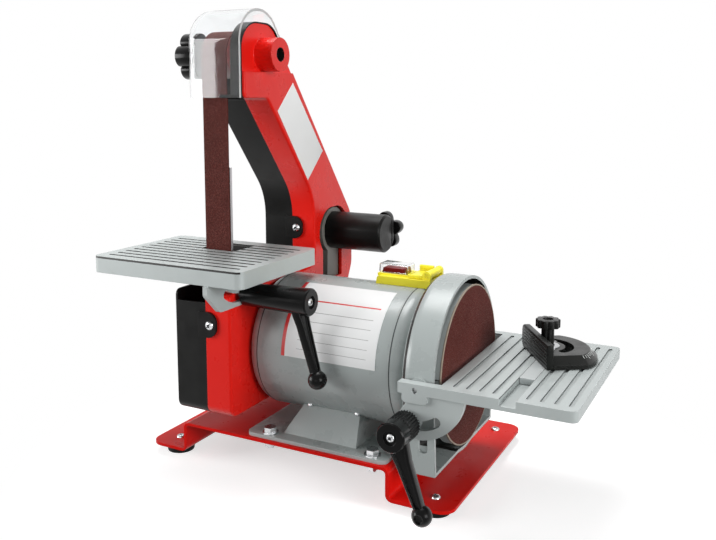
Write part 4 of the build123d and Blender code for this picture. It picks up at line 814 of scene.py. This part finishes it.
def handle():
    """The tension handle: a round grip with a flat back and a parting line in front of it."""
    shape = bmesh.new()
    for low, high, inset in (
        (HANDLE_FRONT, PARTING - PARTING_HALF, 0),
        (PARTING - PARTING_CORE, PARTING + PARTING_CORE, PARTING_DEPTH),
        (PARTING + PARTING_HALF, HANDLE_BACK, 0),
    ):
        radius, length = HANDLE_RADIUS - inset, HANDLE_RIGHT - HANDLE_LEFT - inset
        part = turned([(0, 0), (radius, 0), (radius, length - 2), (radius - 1.8, length), (0, length)], 72)
        move(part, stand((HANDLE_LEFT, *HANDLE_AXIS), X))
        sliced(part, (0, high, 0), Y)
        sliced(part, (0, low, 0), FRONT)
        soften(part, 0.35, 2, 50)
        bmesh.ops.dissolve_degenerate(part, dist=0.01, edges=part.edges)
        gather(shape, part)
    mount("tension_grip", shape, "tension_arm", "black_plastic", nodes=("tension_handle",))


# Plates, seams and weld spots on the motor and the arm

MOTOR_RADIUS = 56.5
PLATE_LOW, PLATE_HIGH, PLATE_STEPS = math.radians(2.5), math.radians(73.0), 40
PLATE_THICK = 0.35
ARM_FACE = -174.0
ARM_PANEL = ((19.7, 220.8), (71.0, 158.4), (43.8, 133.4), (-5.3, 196.7))


def blank_plates():
    """The curved plate on the motor and the flat one on the arm."""
    shape = bmesh.new()
    front, height = -math.cos(PLATE_LOW) * MOTOR_RADIUS, math.sin(PLATE_LOW) * MOTOR_RADIUS
    ends = [shape.verts.new((x, front, height)) for x in (PLATE_LEFT, PLATE_RIGHT)]
    edge = shape.edges.new(ends)
    bmesh.ops.spin(shape, geom=ends + [edge], axis=LEFT, cent=ZERO, dvec=ZERO, angle=PLATE_HIGH - PLATE_LOW,
                   steps=PLATE_STEPS, use_merge=False, use_duplicate=False)
    face_outward(shape)
    first = shape.faces[:][0]
    if first.normal.dot(first.calc_center_median() * Vector((0, 1, 1))) > 0:
        bmesh.ops.reverse_faces(shape, faces=shape.faces)
    bmesh.ops.solidify(shape, geom=shape.faces[:], thickness=PLATE_THICK)
    face_outward(shape)
    mount("blank_motor_plate", shape, "machine", "cast_aluminium", look="motor_plate")
    shape = soften(sheet_of(ARM_PANEL, PLATE_THICK), 0.12, 2, 60)
    move(shape, stand((ARM_FACE, 0, 0), X, Y))
    mount("blank_arm_plate", shape, "machine", "cast_aluminium", look="arm_plate")


SEAMS = (-163.5, -44.5)
SEAM_IN, SEAM_OUT = MOTOR_RADIUS - 0.6, MOTOR_RADIUS + 0.08
SEAM_FOOT, SEAM_HALF = 0.55, 0.45


def motor_seams():
    """The dark joints between the motor's shell and its end bells."""
    shape = bmesh.new()
    profile = [(SEAM_IN, -SEAM_FOOT), (SEAM_OUT, -SEAM_HALF), (SEAM_OUT, SEAM_HALF), (SEAM_IN, SEAM_FOOT),
               (SEAM_IN, -SEAM_FOOT)]
    for x in SEAMS:
        gather(shape, turned(profile, 128), stand((x, 0, 0), X))
    mount("motor_seam_rings", shape, "machine", "grey_paint", look="seam")


WELD_SPOTS = (-125.0, -81.5)
WELD_BEAD = ((0, -1.4), (1.7, -1.0), (2.2, 0), (1.8, 0.9), (1.0, 1.45), (0, 1.6))
WELD_OUT, WELD_TOP = 36.6, -43.6


def weld_spots():
    """The small bright beads where the pedestal's front and back are welded to the motor shell."""
    shape = bmesh.new()
    for x in WELD_SPOTS:
        for side in (-1, 1):
            spot = (x, side * WELD_OUT, WELD_TOP)
            gather(shape, turned(WELD_BEAD, 20), stand(spot, (0, side, -0.4), X))
    mount("pedestal_weld_spots", shape, "machine", "steel", look="bright_screws")


# Switch lid, rocker and hood

LID_LEFT, LID_RIGHT = -55.0, -42.0
LID_FRONT, LID_BACK = 0.4, 27.6
LID_LOW, LID_FLOOR, LID_LIP, LID_TOP = 63.4, 65.0, 66.2, 69.7
LID_WALL, LIP_WALL, EAR_ROOT, TUCK = 2.4, 1.8, 1.5, 0.1
HINGE_X, HINGE_Z, HINGE_FRONT, HINGE_BACK = -38.0, 66.5, 3.8, 24.2
BARREL, PIN = 3.2, 1.5


def pin_of(radius, low, high, ease):
    """The profile of a round pin between two heights, eased at both ends."""
    return [(0, low), (radius - ease, low), (radius, low + ease),
            (radius, high - ease), (radius - ease, high), (0, high)]


def switch_lid():
    """The hinged lid as an open tray: a floor, a high back wall, a low front lip and the hinge barrel."""
    shape = bmesh.new()
    left, right, low = LID_LEFT + TUCK, LID_RIGHT - TUCK, LID_LOW + TUCK
    for start, end, ease in (
        ((LID_LEFT, LID_FRONT, LID_LOW), (LID_RIGHT, LID_BACK, LID_FLOOR), 0.5),
        ((LID_RIGHT - EAR_ROOT, HINGE_FRONT, low), (HINGE_X, HINGE_BACK, LID_FLOOR - TUCK), 0.3),
        ((left, LID_BACK - LID_WALL, low), (right, LID_BACK - TUCK, LID_TOP), 0.7),
        ((left, LID_FRONT + TUCK, low), (right, LID_FRONT + LIP_WALL, LID_LIP), 0.4),
    ):
        gather(shape, soften(block(start, end), ease))
    barrel = turned(pin_of(BARREL, 0, HINGE_BACK - HINGE_FRONT, 0.5), 32)
    gather(shape, barrel, stand((HINGE_X, HINGE_FRONT, HINGE_Z), Y))
    gather(shape, turned(pin_of(PIN, LID_FRONT, LID_BACK, 0.3), 24), stand((HINGE_X, 0, HINGE_Z), Y))
    mount("switch_tray_lid", shape, "switch_flap", "yellow_plastic", nodes=("switch_flap",))


ROCKER_PIVOT, ROCKER_FRONT, ROCKER_BACK = (-69.5, 61.5), 5.5, 18.5
ROCKER_SIDE = ((10.3, 0.5), (10.3, 4.0), (9.5, 7.5), (-9.5, 7.5), (-10.3, 4.0), (-10.3, 0.5))
HOOD_LOW, HOOD_HIGH = (-82.4, 4.2, 64.4), (-56.4, 19.8, 72.4)
HOOD_EASE, HOOD_WALL = 1.6, 0.6


def switch_rocker():
    """The rocker as a raised button, and the clear dust hood over it, open below and in front."""
    shape = soften(sheet_of(ROCKER_SIDE, ROCKER_BACK - ROCKER_FRONT), 0.7, angle=20)
    move(shape, stand((ROCKER_PIVOT[0], ROCKER_BACK, ROCKER_PIVOT[1]), FRONT, X))
    mount("switch_rocker_button", shape, "switch_rocker", "red_plastic", nodes=("switch_rocker",))
    shape = soften(block(HOOD_LOW, HOOD_HIGH), HOOD_EASE, 4)
    open_sides = [f for f in shape.faces if min(f.normal.y, f.normal.z) < -0.9]
    bmesh.ops.delete(shape, geom=open_sides, context="FACES")
    bmesh.ops.solidify(shape, geom=shape.faces[:], thickness=HOOD_WALL)
    face_outward(shape)
    mount("rocker_dust_hood", shape, "machine", "clear_plastic")


# Disc edge

DISC_OUT, DISC_IN = 62.9, 61.8
DISC_FACE, DISC_BACK = 0.06, -1.2


def disc_edge():
    """The fibre backing that shows as a pale line round the abrasive disc."""
    shape = turned([(DISC_IN, DISC_BACK), (DISC_OUT, DISC_BACK + 0.1), (DISC_OUT, -0.1),
                    (DISC_OUT - 0.3, DISC_FACE), (DISC_IN, DISC_FACE), (DISC_IN, DISC_BACK)], 160)
    move(shape, stand(ZERO, X))
    mount("disc_fibre_edge", shape, "spindle", "abrasive", look="fibre")


# Mitre gauge, drawn square to its bar with the fence along X, then turned

MITRE_SEAT = Matrix.Translation((54.0, 26.0, 0)) @ Matrix.Rotation(math.radians(-57.0), 4, "Z")
DIAL_HALF, DIAL_RADIUS, DIAL_SLOPE = 32.0, 38.0, 6.0
DIAL_LOW, DIAL_RIM, DIAL_HIGH = 6.4, 9.6, 15.4
FENCE_BACK, FENCE_THICK, FENCE_TOP = -5.8, 5.0, 25.4
FENCE_SIDE = ((3 - DIAL_HALF, DIAL_LOW), (DIAL_HALF, DIAL_LOW), (DIAL_HALF, FENCE_TOP),
              (5 - DIAL_HALF, FENCE_TOP), (2 - DIAL_HALF, FENCE_TOP - 1.4), (-DIAL_HALF, FENCE_TOP - 5),
              (-DIAL_HALF, DIAL_LOW + 3))
RIDGES, RIDGE_HALF, RIDGE_OUT, RIDGE_ROOT = (9.4, 12.0, 14.6, 17.2, 19.8, 22.4), 0.65, 0.35, 0.6
RIDGE_LEFT, RIDGE_RIGHT = 2.2 - DIAL_HALF, DIAL_HALF - 1
ARC_RADIUS, ARC_HALF, ARC_START, ARC_END = 17.0, 3.4, math.radians(25), math.radians(155)
MARKS, LONG_EVERY = range(35, 146, 5), 15
LONG_MARK, SHORT_MARK, MARK_HALF, MARK_SINK, MARK_RISE = 2.2, 1.3, 0.26, 0.3, 0.12
WASHER_HOLE, WASHER_RADIUS, WASHER_TOP = 5.6, 9.4, DIAL_HIGH + 0.9
GRIP_LOBES, GRIP_LOW, GRIP_HIGH, GRIP_RADIUS = 10, 30.4, 36.9, 9.5
GRIP_HOLLOW, GRIP_SINK = 4.2, 1.6
STEM_FLUTES, STEM_LOW, STEM_RADIUS = 8, 15.8, 5.2


def bow(centre, radius, start, end, steps):
    """Points along an arc."""
    turns = [start + (end - start) * step / steps for step in range(steps + 1)]
    return [(centre[0] + radius * math.cos(a), centre[1] + radius * math.sin(a)) for a in turns]


def dial_outline(inward):
    """The dial from above: straight beside the fence, then round, drawn in by so much."""
    half, radius = DIAL_HALF - inward, DIAL_RADIUS - inward
    turn = math.acos(half / radius)
    return [(half, FENCE_BACK)] + bow((0, 0), radius, turn, math.pi - turn, 40) + [(-half, FENCE_BACK)]


def arc_outline():
    """The slot in the dial for its guide pin."""
    first, last = ((ARC_RADIUS * math.cos(a), ARC_RADIUS * math.sin(a)) for a in (ARC_START, ARC_END))
    line = bow((0, 0), ARC_RADIUS + ARC_HALF, ARC_START, ARC_END, 24)
    line += bow(last, ARC_HALF, ARC_END, ARC_END + math.pi, 8)[1:-1]
    line += bow((0, 0), ARC_RADIUS - ARC_HALF, ARC_END, ARC_START, 24)
    return line + bow(first, ARC_HALF, ARC_START + math.pi, ARC_START + math.tau, 8)[1:-1]


def hoop(part, outline, height):
    """A closed line of edges at one height."""
    verts = [part.verts.new((x, y, height)) for x, y in outline]
    return [part.edges.new(pair) for pair in zip(verts, verts[1:] + verts[:1])]


def mitre_head():
    """The dial with its sloped rim and slot, and the ridged fence with one rounded end."""
    shape = bmesh.new()
    rings = [hoop(shape, dial_outline(inward), height)
             for inward, height in ((0, DIAL_LOW), (0, DIAL_RIM), (DIAL_SLOPE, DIAL_HIGH))]
    slot = [hoop(shape, arc_outline(), height) for height in (DIAL_LOW, DIAL_HIGH)]
    for pair in (rings[:2], rings[1:], slot):
        bmesh.ops.bridge_loops(shape, edges=pair[0] + pair[1])
    for outer, inner in ((rings[0], slot[0]), (rings[2], slot[1])):
        bmesh.ops.triangle_fill(shape, use_beauty=True, edges=outer + inner)
    face_outward(shape)
    fence = soften(sheet_of(FENCE_SIDE, FENCE_THICK), 0.7, angle=20)
    gather(shape, fence, stand((0, FENCE_BACK, 0), FRONT, X))
    front = FENCE_BACK - FENCE_THICK
    for height in RIDGES:
        ridge = block((RIDGE_LEFT, front - RIDGE_OUT, height - RIDGE_HALF),
                      (RIDGE_RIGHT, front + RIDGE_ROOT, height + RIDGE_HALF))
        gather(shape, soften(ridge, 0.3, 2))
    move(shape, MITRE_SEAT)
    mount("mitre_gauge_head", shape, "mitre_head", "black_plastic", nodes=("mitre_head",), look="mitre_black")


def mitre_scale():
    """Plain marks every five degrees on the dial's slope, longer every fifteen, and the pivot's washer."""
    shape = bmesh.new()
    fall = Vector((DIAL_SLOPE, 0, DIAL_RIM - DIAL_HIGH))
    for step in MARKS:
        half = SHORT_MARK if step % LONG_EVERY else LONG_MARK
        mark = soften(block((-half, -MARK_HALF, -MARK_SINK), (half, MARK_HALF, MARK_RISE)), 0.08, 1)
        spot = Vector((DIAL_RADIUS - DIAL_SLOPE, 0, DIAL_HIGH)) + fall * (half + 0.5) / fall.length
        turn = Matrix.Rotation(math.radians(step), 4, "Z")
        gather(shape, mark, MITRE_SEAT @ turn @ stand(spot, (-fall.z, 0, fall.x), fall))
    mount("mitre_scale_marks", shape, "mitre_head", "bright_screws", look="scale_white")
    ring = [(WASHER_HOLE, DIAL_HIGH), (WASHER_RADIUS, DIAL_HIGH), (WASHER_RADIUS, WASHER_TOP - 0.3),
            (WASHER_RADIUS - 0.4, WASHER_TOP), (WASHER_HOLE, WASHER_TOP), (WASHER_HOLE, DIAL_HIGH)]
    shape = turned(ring, 40)
    move(shape, MITRE_SEAT)
    mount("mitre_pivot_washer", shape, "mitre_head", "bright_screws")


def mitre_knob():
    """The clamp knob: a lobed grip with a hollow top on a fluted stem."""
    shape = bmesh.new()
    grip = lobed(GRIP_LOBES, GRIP_RADIUS - 1.4, GRIP_RADIUS, 0.5, GRIP_HIGH - GRIP_LOW)
    dished(soften(grip, 0.8, 2, 60), GRIP_HOLLOW, GRIP_SINK)
    gather(shape, grip, up(GRIP_LOW))
    stem = lobed(STEM_FLUTES, STEM_RADIUS - 0.8, STEM_RADIUS, 0.6, GRIP_LOW + 0.5 - STEM_LOW, 8)
    gather(shape, stem, up(STEM_LOW))
    move(shape, MITRE_SEAT)
    mount("mitre_clamp_knob", shape, "mitre_knob", "black_plastic", nodes=("mitre_knob",), look="mitre_black")


set_camera()
set_lights()
set_world()
lay_floor()
dress_nodes()
clamp_levers()
screws()
star_knobs()
handle()
blank_plates()
motor_seams()
weld_spots()
switch_lid()
switch_rocker()
disc_edge()
mitre_head()
mitre_scale()
mitre_knob()

bpy.context.scene.view_settings.view_transform = "Standard"
